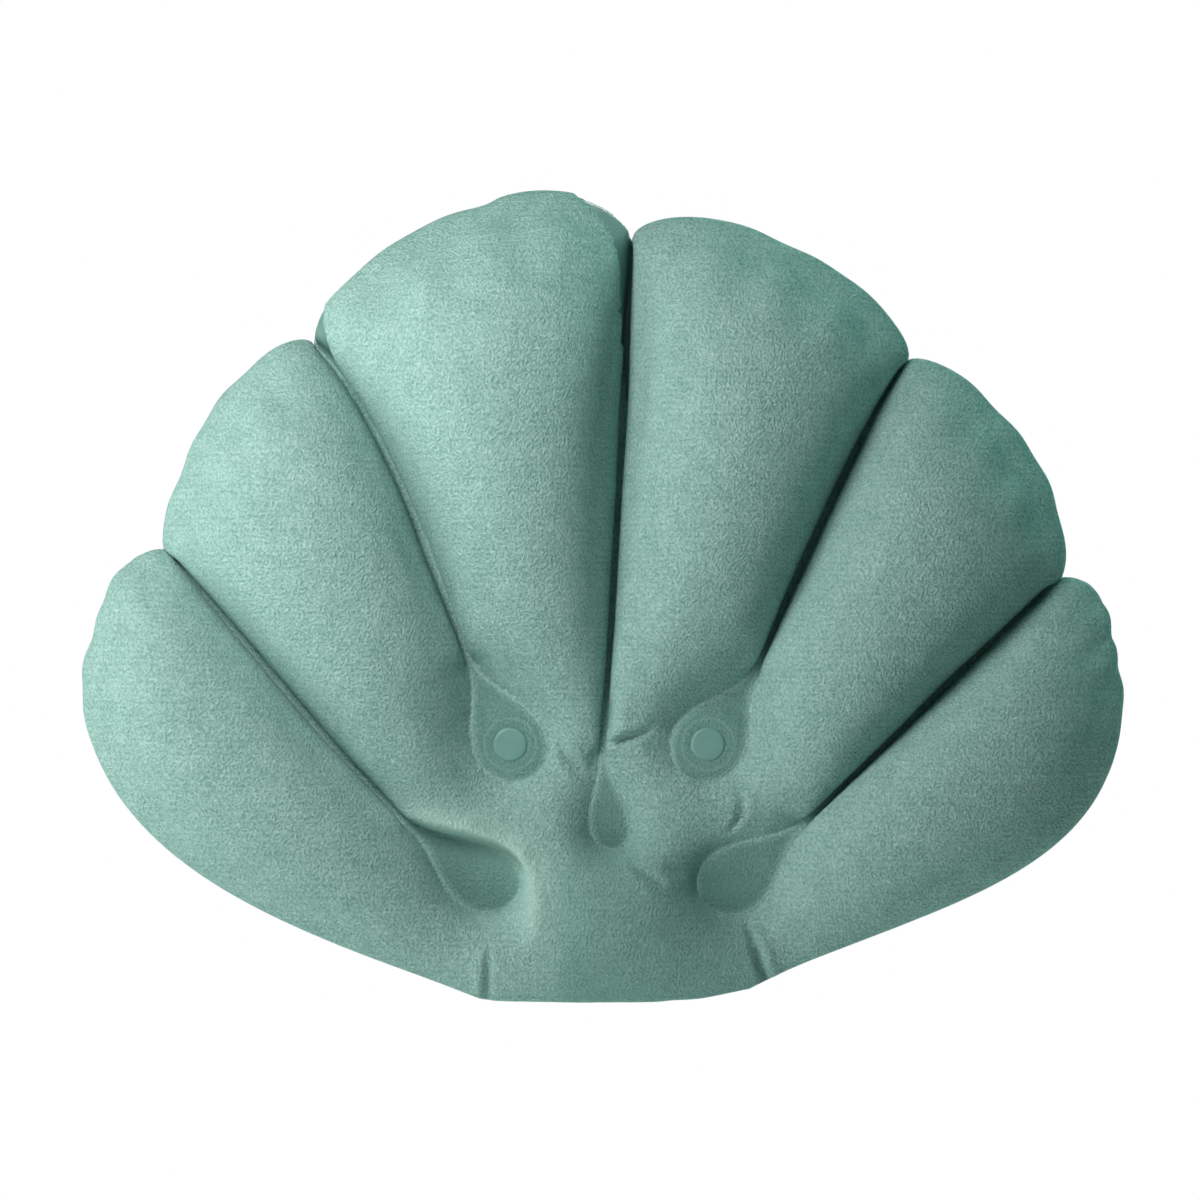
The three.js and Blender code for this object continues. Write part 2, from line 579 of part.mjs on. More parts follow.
// Plug: cap, tapered pin and a finger tab
const capY = mouthY + FIT_GAP;
const capTopY = capY + PLUG_CAP_THICKNESS;
const tabTopY = capTopY - PLUG_CAP_CHAMFER;
const pin = turned([
  [0, mouthY - PLUG_PIN_LENGTH],
  [PLUG_PIN_TIP_RADIUS, mouthY - PLUG_PIN_LENGTH],
  [STEM_BORE_RADIUS - FIT_GAP, capY],
  [PLUG_CAP_RADIUS, capY],
  [PLUG_CAP_RADIUS, tabTopY],
  [PLUG_CAP_RADIUS - PLUG_CAP_CHAMFER, capTopY],
  [0, capTopY],
], SMALL_SIDES, valveCentre);
const tab = sideBar([
  [capY, -STEM_BORE_RADIUS],
  [capY, -PLUG_CAP_RADIUS - PLUG_TAB_LENGTH],
  [tabTopY, -PLUG_CAP_RADIUS - PLUG_TAB_LENGTH],
  [tabTopY, -STEM_BORE_RADIUS],
], PLUG_TAB_WIDTH);
add('valve_plug', join(pin, tab), softVinyl);

// Strap from the cap's edge round the corner to the bend above the lug
const strapTopY = capY + STRAP_THICKNESS;
const strapInner = bendHeight - halfStrap;
const strapOuter = bendHeight + halfStrap;
const CORNER_STEPS = 4;
const corner = upTo(CORNER_STEPS + 1, (k) => {
  const angle = Math.PI / 2 * k / CORNER_STEPS;
  return [capY + STRAP_THICKNESS * Math.cos(angle), strapInner + STRAP_THICKNESS * Math.sin(angle)];
});
add('plug_strap', sideBar([
  [capY, PLUG_CAP_RADIUS + FIT_GAP],
  [strapTopY, PLUG_CAP_RADIUS + FIT_GAP],
  ...corner,
  [bendY, strapOuter],
  [bendY - halfStrap, bendHeight],
  [bendY, strapInner],
  [capY, strapInner],
], STRAP_WIDTH), softVinyl);

// Flap over the stem's inner end
const flapRadius = STEM_BORE_RADIUS + FLAP_MARGIN;
const flapBackY = innerY - FIT_GAP;
add('valve_flap', turned([
  [0, flapBackY - FLAP_THICKNESS],
  [flapRadius, flapBackY - FLAP_THICKNESS],
  [flapRadius, flapBackY],
  [0, flapBackY],
], SMALL_SIDES, valveCentre), vinyl);

export default pillow;
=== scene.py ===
import math

import bmesh
import bpy
import numpy as np
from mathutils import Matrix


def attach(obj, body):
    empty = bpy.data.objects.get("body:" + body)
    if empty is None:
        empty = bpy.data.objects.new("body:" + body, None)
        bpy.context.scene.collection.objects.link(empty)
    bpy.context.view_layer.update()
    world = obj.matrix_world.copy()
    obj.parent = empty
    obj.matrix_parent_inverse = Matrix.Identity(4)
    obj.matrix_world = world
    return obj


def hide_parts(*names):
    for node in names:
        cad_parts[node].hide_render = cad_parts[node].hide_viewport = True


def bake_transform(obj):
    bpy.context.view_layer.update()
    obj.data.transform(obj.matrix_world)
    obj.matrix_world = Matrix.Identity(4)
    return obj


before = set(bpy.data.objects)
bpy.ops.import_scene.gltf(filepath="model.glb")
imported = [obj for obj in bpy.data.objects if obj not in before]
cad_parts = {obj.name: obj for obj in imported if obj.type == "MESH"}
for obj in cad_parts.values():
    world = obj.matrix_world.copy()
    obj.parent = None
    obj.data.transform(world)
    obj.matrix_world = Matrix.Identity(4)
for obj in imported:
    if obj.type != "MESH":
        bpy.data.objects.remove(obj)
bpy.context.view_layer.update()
scene = bpy.context.scene
MM = 0.001  # shapes are worked out in millimetres

# Camera: straight in front of the pillow and level with its middle, far back behind a long lens, so that
# the fan shows with next to no perspective. The picture is 458.4 mm wide at the crown of the lobes.
camera_data = bpy.data.cameras.new("camera")
camera_data.sensor_width = 36
camera_data.lens = 110
camera = bpy.data.objects.new("camera", camera_data)
PICTURE_WIDTH = 458.4
CROWN_Y = -45.0
DISTANCE = PICTURE_WIDTH * camera_data.lens / camera_data.sensor_width
camera.location = np.array([-3.5, CROWN_Y - DISTANCE, 55.5]) * MM
camera.rotation_euler = (math.pi / 2, 0, 0)
camera_data.clip_start = 0.01
scene.collection.objects.link(camera)
scene.camera = camera


# Studio: a pale floor below the pillow, white to the camera, two soft lamps in front on the left, one square
# on the left that lights the edge, a cool fill from high on the right and one lamp behind for the back.
def linear(code):
    """sRGB hex colour to linear RGBA: the standard's straight toe below 0.04045, its 2.4 power above."""
    srgb = np.array([int(code[i:i + 2], 16) for i in (1, 3, 5)]) / 255
    value = np.where(srgb <= 0.04045, srgb / 12.92, ((srgb + 0.055) / 1.055) ** 2.4)
    return (*value.tolist(), 1.0)


def add_node(tree, kind, inputs=None, **settings):
    """Adds one node with its settings. An input is a number, a colour or the output that feeds it."""
    node = tree.nodes.new(kind)
    for name, value in settings.items():
        setattr(node, name, value)
    for name, value in (inputs or {}).items():
        if isinstance(value, bpy.types.NodeSocket):
            tree.links.new(value, node.inputs[name])
        else:
            node.inputs[name].default_value = value
    return node


def blank_material(name):
    """A material with no nodes in it yet."""
    material = bpy.data.materials.new(name)
    material.use_nodes = True
    material.node_tree.nodes.clear()
    return material


def put_mesh(name, points, faces):
    """A smooth-shaded object at the origin from an array of points in millimetres and a list of faces."""
    mesh = bpy.data.meshes.new(name)
    places = np.asarray(points, float).reshape(-1, 3) * MM
    mesh.from_pydata(places.tolist(), [], [list(face) for face in faces])
    mesh.polygons.foreach_set("use_smooth", np.ones(len(mesh.polygons), bool))
    mesh.update()
    piece = bpy.data.objects.new(name, mesh)
    scene.collection.objects.link(piece)
    return piece


FLOOR_Z, FLOOR_HALF = -330.0, 4000.0
floor_corners = np.array([[-1, -1, 0], [1, -1, 0], [1, 1, 0], [-1, 1, 0]]) * FLOOR_HALF + [0, 0, FLOOR_Z]
floor = put_mesh("floor", floor_corners, [[0, 1, 2, 3]])
floor_paper = blank_material("white paper sweep")
tree = floor_paper.node_tree
path = add_node(tree, "ShaderNodeLightPath")
seen = add_node(tree, "ShaderNodeMath", {0: path.outputs["Is Camera Ray"], 1: path.outputs["Is Glossy Ray"]},
                operation="MAXIMUM")
paper = add_node(tree, "ShaderNodeBsdfDiffuse", {"Color": linear("#f4f4f2")})
white = add_node(tree, "ShaderNodeEmission", {"Color": (1, 1, 1, 1), "Strength": 1.0})
mixed = add_node(tree, "ShaderNodeMixShader", {0: seen.outputs[0], 1: paper.outputs[0], 2: white.outputs[0]})
add_node(tree, "ShaderNodeOutputMaterial", {"Surface": mixed.outputs[0]})
floor.data.materials.append(floor_paper)

world = bpy.data.worlds.new("studio")
world.use_nodes = True
scene.world = world
tree = world.node_tree
tree.nodes.clear()
path = add_node(tree, "ShaderNodeLightPath")
seen = add_node(tree, "ShaderNodeMath", {0: path.outputs["Is Camera Ray"], 1: path.outputs["Is Glossy Ray"]},
                operation="MAXIMUM")
even = add_node(tree, "ShaderNodeBackground", {"Color": linear("#b4fff0"), "Strength": 0.02})
white = add_node(tree, "ShaderNodeBackground", {"Color": (1, 1, 1, 1), "Strength": 1.0})
mixed = add_node(tree, "ShaderNodeMixShader", {0: seen.outputs[0], 1: even.outputs[0], 2: white.outputs[0]})
add_node(tree, "ShaderNodeOutputWorld", {"Surface": mixed.outputs[0]})


PILLOW_MIDDLE = np.array([0, -40, 50])


def soft_lamp(name, bearing, rise, distance, size, watts, colour):
    """A square area lamp that faces the pillow's middle, at a bearing from straight in front (positive to
    the right), a rise above the level and a distance in millimetres."""
    data = bpy.data.lights.new(name, "AREA")
    data.size = size * MM
    data.energy = watts
    data.color = linear(colour)[:3]
    lamp = bpy.data.objects.new(name, data)
    bearing, rise = math.radians(bearing), math.radians(rise)
    toward = np.array([math.sin(bearing) * math.cos(rise), -math.cos(bearing) * math.cos(rise),
                       math.sin(rise)])
    lamp.location = (PILLOW_MIDDLE + distance * toward) * MM
    lamp.rotation_euler = (math.pi / 2 - rise, 0, bearing)
    scene.collection.objects.link(lamp)


soft_lamp("key", -32, 28, 456, 180, 1.95, "#fff4f1")
soft_lamp("low", -63, -15, 640, 180, 1.1, "#fff4f1")
soft_lamp("rim", -90, 0, 700, 250, 1.9, "#fff4f1")
soft_lamp("fill", 100, 45, 1000, 500, 4.2, "#c6fff3")
soft_lamp("back", 165, 30, 1000, 500, 9.0, "#ffffff")

scene.view_settings.view_transform = "Standard"

# Terry face: terry cloth laminated to vinyl film, welded flat along five radial seams and round the edge,
# so that the air behind swells it into six lobes over one base. Each seam ends low in a wider drop.
HUB = np.array([-2.0, -105.0])  # the seams fan out from here, x and z
BASE_RISE, BASE_LEFT, BASE_RIGHT, BASE_RIGHT_LIFT = 9.5, 45.0, 55.0, 4.0
FLANK_REACH, FLANK_HEIGHT = 195.0, 115.0
LEFT_FLANK = {"belly": 0.335, "shoulder": 0.515, "lean": 14.0}  # heights as shares of the flank's height
RIGHT_FLANK = {"belly": 0.43, "shoulder": 0.47, "lean": 8.0}
SEAM_WELD = 3.5
DROP_END = 0.93
WAIST_ROW, NOTCH_ROW = 7.0, 12.0
LEFT_CUP, RIGHT_CUP = np.array([-38.0, 0.0]), np.array([38.0, 0.0])
LOBE_SWELLS = (12.0, 14.0, 27.0, 20.0, 18.0, 9.0)  # how far the lobes' ends stand out past their notches
LOBE_LEANS = (0.6, 0.2, 0.2, -0.1, 0.0, -1.4)  # fuller towards the right (positive) or the left
LOBE_STEPS = (0.0, 0.0, 2.0, 0.0, 0.0, 0.0)  # a pucker steps the right part of a lobe's end up by this much


def smooth_step(value, low, high):
    """0 below low, 1 above high and the cubic 3t2 - 2t3 between."""
    t = np.clip((value - low) / (high - low), 0, 1)
    return t * t * (3 - 2 * t)


def fan(degrees, distance):
    """The place at an angle from upright and a distance from the hub."""
    return HUB + distance * np.array([math.sin(math.radians(degrees)), math.cos(math.radians(degrees))])


def seam(notch, elbow, waist, tip, drop, radius, foot, rows):
    """A radial weld: its notch, elbow, waist and tip in the fan, its drop, and its foot at the bottom."""
    return {"notch": fan(*notch), "elbow": fan(*elbow), "waist": fan(*waist), "tip": fan(*tip),
            "drop": drop, "radius": radius, "foot": foot, "rows": rows}


OUTER_ROWS, INNER_ROWS, CENTRE_ROWS = (2.0, 3.0, 5.0), (4.0, 5.0, 6.8), (2.0, 3.0, 4.0)
DROP_EASES = (0.25, 0.9, 0.9, 0.9, 0.9)  # how much more gently the film climbs off each drop than off a seam
SEAMS = (
    seam((-43, 243), (-43.6, 205), (-44.7, 150), (-45.4, 106), fan(-40.8, 70), 14.0, -24.75, OUTER_ROWS),
    seam((-23.3, 281), (-20.2, 252), (-20.8, 150), (-20.8, 147), LEFT_CUP, 15.0, -12.15, INNER_ROWS),
    seam((2.1, 298), (1.8, 230), (1.1, 150), (-0.4, 102), fan(1.8, 73), 8.5, 2.2, CENTRE_ROWS),
    seam((24.6, 276), (23.4, 248), (23.7, 150), (23.7, 146), RIGHT_CUP, 15.0, 15.95, INNER_ROWS),
    seam((45.8, 239), (45.8, 205), (45.9, 150), (45.9, 107), fan(43.5, 72), 14.0, 30.25, OUTER_ROWS),
)


def base_line(x):
    """Height of the bottom edge: level on the left, climbing with the cube of the way to the right."""
    return HUB[1] + BASE_RISE + np.maximum(0, (x - HUB[0]) / BASE_RIGHT) ** 3 * BASE_RIGHT_LIFT


def curve_at(corners, share):
    """Bezier curve at shares of its length: sampled finely, lengths summed, looked up by length."""
    t = np.linspace(0, 1, 400)[:, None]
    degree = len(corners) - 1
    curve = sum(math.comb(degree, k) * (1 - t) ** (degree - k) * t ** k * corner
                for k, corner in enumerate(corners))
    length = np.append(0, np.cumsum(np.linalg.norm(np.diff(curve, axis=0), axis=1)))
    return np.stack([np.interp(share * length[-1], length, curve[:, i]) for i in (0, 1)], axis=-1)


def seam_middle(weld, row):
    """Middle of a seam: straight from foot to drop, tip and waist by rows, then a bent curve to the notch."""
    end, middle, tip = weld["rows"]
    inward = (weld["drop"] - weld["tip"]) / np.linalg.norm(weld["drop"] - weld["tip"])
    foot = np.array([HUB[0] + weld["foot"], base_line(HUB[0] + weld["foot"])])
    stops = np.array([foot, weld["drop"] + inward * DROP_END * weld["radius"], weld["drop"], weld["tip"],
                      weld["waist"]])
    low = np.stack([np.interp(row, (0, end, middle, tip, WAIST_ROW), stops[:, i]) for i in (0, 1)], axis=-1)
    share = np.clip((row - WAIST_ROW) / (NOTCH_ROW - WAIST_ROW), 0, 1)
    high = curve_at((weld["waist"], weld["elbow"], weld["notch"]), share)
    return np.where((row > WAIST_ROW)[..., None], high, low)


def seam_half(weld, row):
    """Half the width of a seam: a circle below the drop's middle, a cosine taper from there to the tip, then
    a thin line that the lobes' ends close up over."""
    end, middle, tip = weld["rows"]
    thin = SEAM_WELD / 2 * (1 - 0.75 * smooth_step(row, 9.5, NOTCH_ROW))
    to_tip = np.clip((row - middle) / (tip - middle), 0, 1)
    taper = thin + (weld["radius"] - thin) * (1 + np.cos(np.pi * to_tip)) / 2
    to_end = DROP_END * np.clip((middle - row) / (middle - end), 0, 1)
    return np.where(row > middle, taper, weld["radius"] * np.sqrt(1 - to_end ** 2))


def seam_edge(weld, row, side):
    """Edge of a seam, left (-1) or right (1): square to its run, turning upright towards the bottom."""
    outward = (weld["waist"] - weld["drop"]) / np.linalg.norm(weld["waist"] - weld["drop"])
    turn = np.minimum(1, row / weld["rows"][0])[..., None]
    along = (1 - turn) * np.array([0.0, 1.0]) + turn * outward
    along /= np.linalg.norm(along, axis=-1, keepdims=True)
    across = np.stack([along[..., 1], -along[..., 0]], axis=-1)
    return seam_middle(weld, row) + side * seam_half(weld, row)[..., None] * across


def flank_edge(row, side):
    """Lower edge of a side lobe: one cubic curve from the bottom corner out and up to the lobe's end."""
    flank = LEFT_FLANK if side < 0 else RIGHT_FLANK
    corner = HUB[0] + (-BASE_LEFT if side < 0 else BASE_RIGHT)
    start = np.array([corner, base_line(corner)])
    end = HUB + np.array([side * FLANK_REACH, FLANK_HEIGHT])
    belly = np.array([(start[0] + end[0]) / 2, HUB[1] + flank["belly"] * FLANK_HEIGHT])
    shoulder = np.array([end[0] - side * flank["lean"], HUB[1] + flank["shoulder"] * FLANK_HEIGHT])
    return curve_at((start, belly, shoulder, end), row / NOTCH_ROW)


def lobe_plan(lobe, across, row):
    """Plan of a lobe: straight lines between its two welds, whose outer ends swell in a round."""
    left = flank_edge(row, -1) if lobe == 0 else seam_edge(SEAMS[lobe - 1], row, 1)
    right = flank_edge(row, 1) if lobe == 5 else seam_edge(SEAMS[lobe], row, -1)
    t = (2 * across - 1)[:, None]
    flat_side = ((lobe == 0) & (t < 0)) | ((lobe == 5) & (t > 0))
    roundness = np.where(flat_side, 1 - t * t, np.maximum(0, 1 - t * t) ** 0.6 * (1 + LOBE_LEANS[lobe] * t))
    outward = np.stack([left[:, 1] - right[:, 1], right[:, 0] - left[:, 0]], axis=-1)
    outward /= np.linalg.norm(outward, axis=-1, keepdims=True)
    share = np.maximum(0, (row - WAIST_ROW) / (NOTCH_ROW - WAIST_ROW)) ** 2
    swell = (LOBE_SWELLS[lobe] * roundness + LOBE_STEPS[lobe] * smooth_step(across, 0.62, 0.67)[:, None]
             * (1 - smooth_step(across, 0.86, 1.0)[:, None])) * share
    return left + across[:, None, None] * (right - left) + swell[..., None] * outward


def pillow_plan(lobe_steps, strip_steps, row):
    """Grid over the whole pillow, columns from left to right through lobes and seams, rows from the bottom
    edge to the lobes' ends. Gives each point's place, whether it is welded or on the edge, how gently the
    film climbs off it if it is on a drop, how many millimetres it lies inside the border of a seam's weld,
    its lobe and its share across that lobe, its column's station from left to right, and which way and how
    far it must lean to meet the next lobe over the seam."""
    even = np.linspace(-1, 1, lobe_steps + 1)
    across = 0.5 + 0.5 * np.sign(even) * (1 - (1 - np.abs(even)) ** 1.5)
    strip = np.linspace(0, 1, strip_steps + 1)[1:-1]
    places, welded, inside, lobes, shares, eases, stations, leans = [], [], [], [], [], [], [], []

    def closing(weld):
        tip = weld["rows"][2]
        return np.minimum(seam_half(weld, row), SEAM_WELD / 2) * smooth_step(row, tip - 0.6, tip + 0.4)

    for lobe in range(6):
        held = np.zeros((len(across), len(row)), bool)
        if lobe > 0:
            held[0] = row >= SEAMS[lobe - 1]["rows"][0]
        if lobe < 5:
            held[-1] = row >= SEAMS[lobe]["rows"][0]
        ease = np.zeros(held.shape)
        if lobe > 0:
            ease[0] = DROP_EASES[lobe - 1] * (held[0] & (row <= SEAMS[lobe - 1]["rows"][2]))
        if lobe < 5:
            ease[-1] = DROP_EASES[lobe] * (held[-1] & (row <= SEAMS[lobe]["rows"][2]))
        eases.append(ease)
        places.append(lobe_plan(lobe, across, row))
        welded.append(held)
        inside.append(np.zeros(held.shape))
        lobes.append(np.full(held.shape, lobe))
        shares.append(np.repeat(across[:, None], len(row), axis=1))
        stations.append(2 * lobe + across)
        toward = places[-1][-1] - places[-1][0]
        toward /= np.linalg.norm(toward, axis=-1, keepdims=True)
        side = 2 * across[:, None] - 1
        left = closing(SEAMS[lobe - 1]) if lobe > 0 else 0 * row
        right = closing(SEAMS[lobe]) if lobe < 5 else 0 * row
        leans.append((np.where(side > 0, right, left) * side ** 3)[..., None] * toward)
        if lobe == 5:
            break
        weld = SEAMS[lobe]
        left, right = seam_edge(weld, row, -1), seam_edge(weld, row, 1)
        held = np.repeat((row >= weld["rows"][0])[None], len(strip), axis=0)
        from_border = (1 - np.abs(2 * strip - 1))[:, None] * seam_half(weld, row)
        eases.append(DROP_EASES[lobe] * (held & (row <= weld["rows"][2])))
        places.append(left + strip[:, None, None] * (right - left))
        welded.append(held)
        inside.append(np.where(held, from_border, 0))
        lobes.append(np.full(held.shape, lobe))
        shares.append(np.ones(held.shape))
        stations.append(2 * lobe + 1 + strip)
        leans.append(np.zeros(places[-1].shape))
    parts = {"place": places, "welded": welded, "ease": eases, "inside": inside, "lobe": lobes,
             "share": shares, "station": stations, "lean": leans}
    plan = {name: np.concatenate(pieces) for name, pieces in parts.items()}
    plan["edge"] = np.zeros(plan["welded"].shape, bool)
    plan["edge"][[0, -1]] = True
    plan["edge"][:, [0, -1]] = True
    return plan


SWEEPS, PLAIN_SWEEPS, PACE = 900, 60, 1.93


def relaxed(plan, fixed, start, load):
    """Values over the plan that bend alike by load at each free point: the cotangent sum over the grid's
    triangles, solved by over-relaxing the points of three alternating sets, and plainly in the last
    sweeps."""
    p = plan["place"]
    a, b, d, e = p[:-1, :-1], p[1:, :-1], p[1:, 1:], p[:-1, 1:]

    def cross(u, v):
        return u[..., 0] * v[..., 1] - u[..., 1] * v[..., 0]

    def cot(at, one, two):
        u, v = one - at, two - at
        return (u * v).sum(-1) / np.maximum(1e-9, np.abs(cross(u, v)))

    east, north, slant = np.zeros(p.shape[:2]), np.zeros(p.shape[:2]), np.zeros(p.shape[:2])
    east[:-1, :-1] += cot(d, a, b)
    east[:-1, 1:] += cot(a, d, e)
    north[:-1, :-1] += cot(d, a, e)
    north[1:, :-1] += cot(a, b, d)
    slant[:-1, :-1] += cot(b, a, d) + cot(e, a, d)
    first, second = np.abs(cross(b - a, d - a)) / 3, np.abs(cross(d - a, e - a)) / 3
    weight = np.zeros(p.shape[:2])
    for area, corners in ((first, ((0, 0), (1, 0), (1, 1))), (second, ((0, 0), (1, 1), (0, 1)))):
        for c, r in corners:
            weight[c:c + area.shape[0], r:r + area.shape[1]] += area
    total = east + north + slant
    total[1:] += east[:-1]
    total[:, 1:] += north[:, :-1]
    total[1:, 1:] += slant[:-1, :-1]
    column, row = np.indices(p.shape[:2])
    sets = [(~fixed) & ((column + row) % 3 == k) for k in range(3)]
    value = start.astype(float).copy()
    for sweep in range(SWEEPS):
        pace = PACE if sweep < SWEEPS - PLAIN_SWEEPS else 1.0
        for chosen in sets:
            near = load * weight
            near[:-1] += east[:-1] * value[1:]
            near[1:] += east[:-1] * value[:-1]
            near[:, :-1] += north[:, :-1] * value[:, 1:]
            near[:, 1:] += north[:, :-1] * value[:, :-1]
            near[:-1, :-1] += slant[:-1, :-1] * value[1:, 1:]
            near[1:, 1:] += slant[:-1, :-1] * value[:-1, :-1]
            value[chosen] += pace * (near[chosen] / total[chosen] - value[chosen])
    return value


def air_crown(plan):
    """Crown of the inflated film from 0 to 1: its square bends alike everywhere and is 0 on the welds, which
    makes a straight lobe's section a half circle."""
    held = plan["welded"] | plan["edge"]
    height = np.sqrt(np.maximum(0, relaxed(plan, held, np.zeros(held.shape), 1.0)))
    return height / height.max()


def grid_normals(points):
    """Unit normals of a grid of points, square to its columns and rows. Along each, the directions of the
    steps to both sides are averaged, each weighted by the length of the other, as the steps are uneven."""
    def direction(axis):
        step = np.moveaxis(np.diff(points, axis=axis), axis, 0)
        length = np.maximum(1e-9, np.linalg.norm(step, axis=-1, keepdims=True))
        way = step / length
        inner = (length[:-1] * way[1:] + length[1:] * way[:-1]) / (length[:-1] + length[1:])
        return np.moveaxis(np.concatenate([way[:1], inner, way[-1:]]), 0, axis)

    normal = np.cross(direction(0), direction(1))
    return normal / np.maximum(1e-9, np.linalg.norm(normal, axis=-1, keepdims=True))


def grid_faces(columns, rows, wrap=(False, False)):
    """Quads of a grid, anticlockwise seen from where columns run right and rows up; wrap closes it round."""
    c, r = np.meshgrid(np.arange(columns - (not wrap[0])), np.arange(rows - (not wrap[1])), indexing="ij")
    next_c, next_r = (c + 1) % columns, (r + 1) % rows
    corners = [c * rows + r, next_c * rows + r, next_c * rows + next_r, c * rows + next_r]
    return np.stack(corners, axis=-1).reshape(-1, 4)


# The rows crowd towards the bottom edge, the drops' ends and the lobes' ends, where the film stands up from
# its welds
CROWDING = 1.6
low = np.linspace(0, 1, 32, endpoint=False)
row = np.concatenate([
    OUTER_ROWS[0] * low ** CROWDING / (low ** CROWDING + (1 - low) ** CROWDING),
    np.linspace(OUTER_ROWS[0], WAIST_ROW, 64, endpoint=False),
    NOTCH_ROW - (NOTCH_ROW - WAIST_ROW) * (1 - np.linspace(0, 1, 58)) ** CROWDING,
])
plan = pillow_plan(52, 16, row)
columns, rows = plan["welded"].shape
held = plan["welded"] | plan["edge"]
edge_share = relaxed(plan, held, plan["edge"].astype(float), 0.0)
crown = air_crown(plan) ** (1 + relaxed(plan, held, plan["ease"], 0.0))

FRONT_CROWN, FRONT_Y = 43.0, -34.3  # swell of the fullest lobe, outer face of the terry on the welds
EDGE_OVERHANG, OVERHANG_HEIGHT, LEAN = 5.0, 18.0, 0.95


def swollen(plan, rise, edge_share, face_y, facing, overhang):
    """The sheet over its plan: it rises off the welds, leans over the seams until the lobes all but meet,
    and bellies out over the edge, both by a sine of its rise."""
    points = np.stack([plan["place"][..., 0], face_y + facing * rise, plan["place"][..., 1]], axis=-1)
    belly = np.sin(np.pi * np.clip(rise / OVERHANG_HEIGHT, 0, 1))[..., None]
    out = grid_normals(points) * -facing
    over_edge = (overhang * edge_share)[..., None] * out[..., [0, 2]]
    points[..., [0, 2]] += belly * (LEAN * plan["lean"] + over_edge)
    return points


def line_distance(place, line):
    """Distance of each place from a broken line, positive on the line's left, and how far along the line its
    nearest point lies, from 0 to 1: the least over the line's pieces."""
    line = np.array(line, float)
    length = np.linalg.norm(np.diff(line, axis=0), axis=1)
    nearest, along = np.full(place.shape[:-1], np.inf), np.zeros(place.shape[:-1])
    for k, (a, run) in enumerate(zip(line[:-1], np.diff(line, axis=0))):
        share = np.clip((place - a) @ run / (run @ run), 0, 1)
        distance = np.linalg.norm(place - a - share[..., None] * run, axis=-1)
        left = run[0] * (place[..., 1] - a[1]) - run[1] * (place[..., 0] - a[0]) > 0
        closer = distance < np.abs(nearest)
        along = np.where(closer, (length[:k].sum() + share * length[k]) / length.sum(), along)
        nearest = np.where(closer, np.where(left, distance, -distance), nearest)
    return nearest, along


SLACK = 0.012  # the share by which a sheet is too large for its welds
WRINKLE_CAP = 5.0
BROAD_BLUR, FINE_BLUR, CARRIED_BLUR = 12, 2, 4  # passes


def cloth_wrinkles(face_y, height, facing):
    """Wrinkles that a cloth run draws in the sheet. A coarse sheet, pinned on its welds and a little too
    large for them, is blown up by air; what it moved by, less the smooth part of it, is carried to the
    fine grid by its place across the lobes and along the rows, and fades out towards the drops."""
    coarse_row = row[::3]
    coarse = pillow_plan(18, 4, coarse_row)
    pinned = coarse["welded"] | coarse["edge"]
    spread = relaxed(coarse, pinned, coarse["edge"].astype(float), 0.0)
    lift = height * air_crown(coarse) ** (1 + relaxed(coarse, pinned, coarse["ease"], 0.0))
    start = swollen(coarse, lift, spread, face_y, facing, EDGE_OVERHANG)
    cloth = put_mesh("cloth_run", start, grid_faces(*pinned.shape)[:, ::-facing])
    pins = cloth.vertex_groups.new(name="pins")
    pins.add(np.flatnonzero(pinned).tolist(), 1.0, "REPLACE")
    run = cloth.modifiers.new("cloth", "CLOTH")
    run.settings.quality = 8
    run.settings.mass = 0.3
    run.settings.tension_stiffness = run.settings.compression_stiffness = 40.0
    run.settings.shear_stiffness = 20.0
    run.settings.bending_stiffness = 0.4
    run.settings.vertex_group_mass = "pins"
    run.settings.use_pressure = True
    run.settings.uniform_pressure_force = 4.0
    run.settings.shrink_min = -SLACK
    run.settings.effector_weights.gravity = 0.0
    for moment in range(1, 21):
        scene.frame_set(moment)
    blown = cloth.evaluated_get(bpy.context.evaluated_depsgraph_get()).data
    after = np.empty(3 * len(blown.vertices))
    blown.vertices.foreach_get("co", after)
    moved = after.reshape(start.shape) / MM - start
    scene.frame_set(1)
    bpy.data.objects.remove(cloth)

    def blurred(field, passes):
        for axis in (0, 1):
            for _ in range(passes):
                field = 0.5 * field + 0.25 * (np.roll(field, 1, axis) + np.roll(field, -1, axis))
        return field

    free = (~pinned)[..., None].astype(float)
    smooth = blurred(moved * free, BROAD_BLUR) / np.maximum(0.05, blurred(free, BROAD_BLUR))
    wrinkle = blurred((moved - smooth) * free, FINE_BLUR)
    size = np.linalg.norm(wrinkle, axis=-1, keepdims=True)
    wrinkle *= np.minimum(1, WRINKLE_CAP / np.maximum(1e-9, size))
    across = np.stack([np.interp(plan["station"], coarse["station"], unit)
                       for unit in np.eye(len(coarse["station"]))], axis=1)
    up = np.stack([np.interp(row, coarse_row, unit) for unit in np.eye(len(coarse_row))], axis=1)
    fine = blurred(np.einsum("ic,crk,jr->ijk", across, wrinkle, up), CARRIED_BLUR)
    return fine * (~held * smooth_step(row, 5.0, 8.0))[..., None]


PUCKER, RIPPLE = 0.05, 0.13
rise = FRONT_CROWN * crown
# Slight puckers gather the ends of the lobes, four or five to a lobe
pucker = np.sin(2 * np.pi * (4.3 * plan["share"] + 0.37 * plan["lobe"])) * smooth_step(row, 10.9, 11.8)
rise = rise * (1 + PUCKER * pucker)
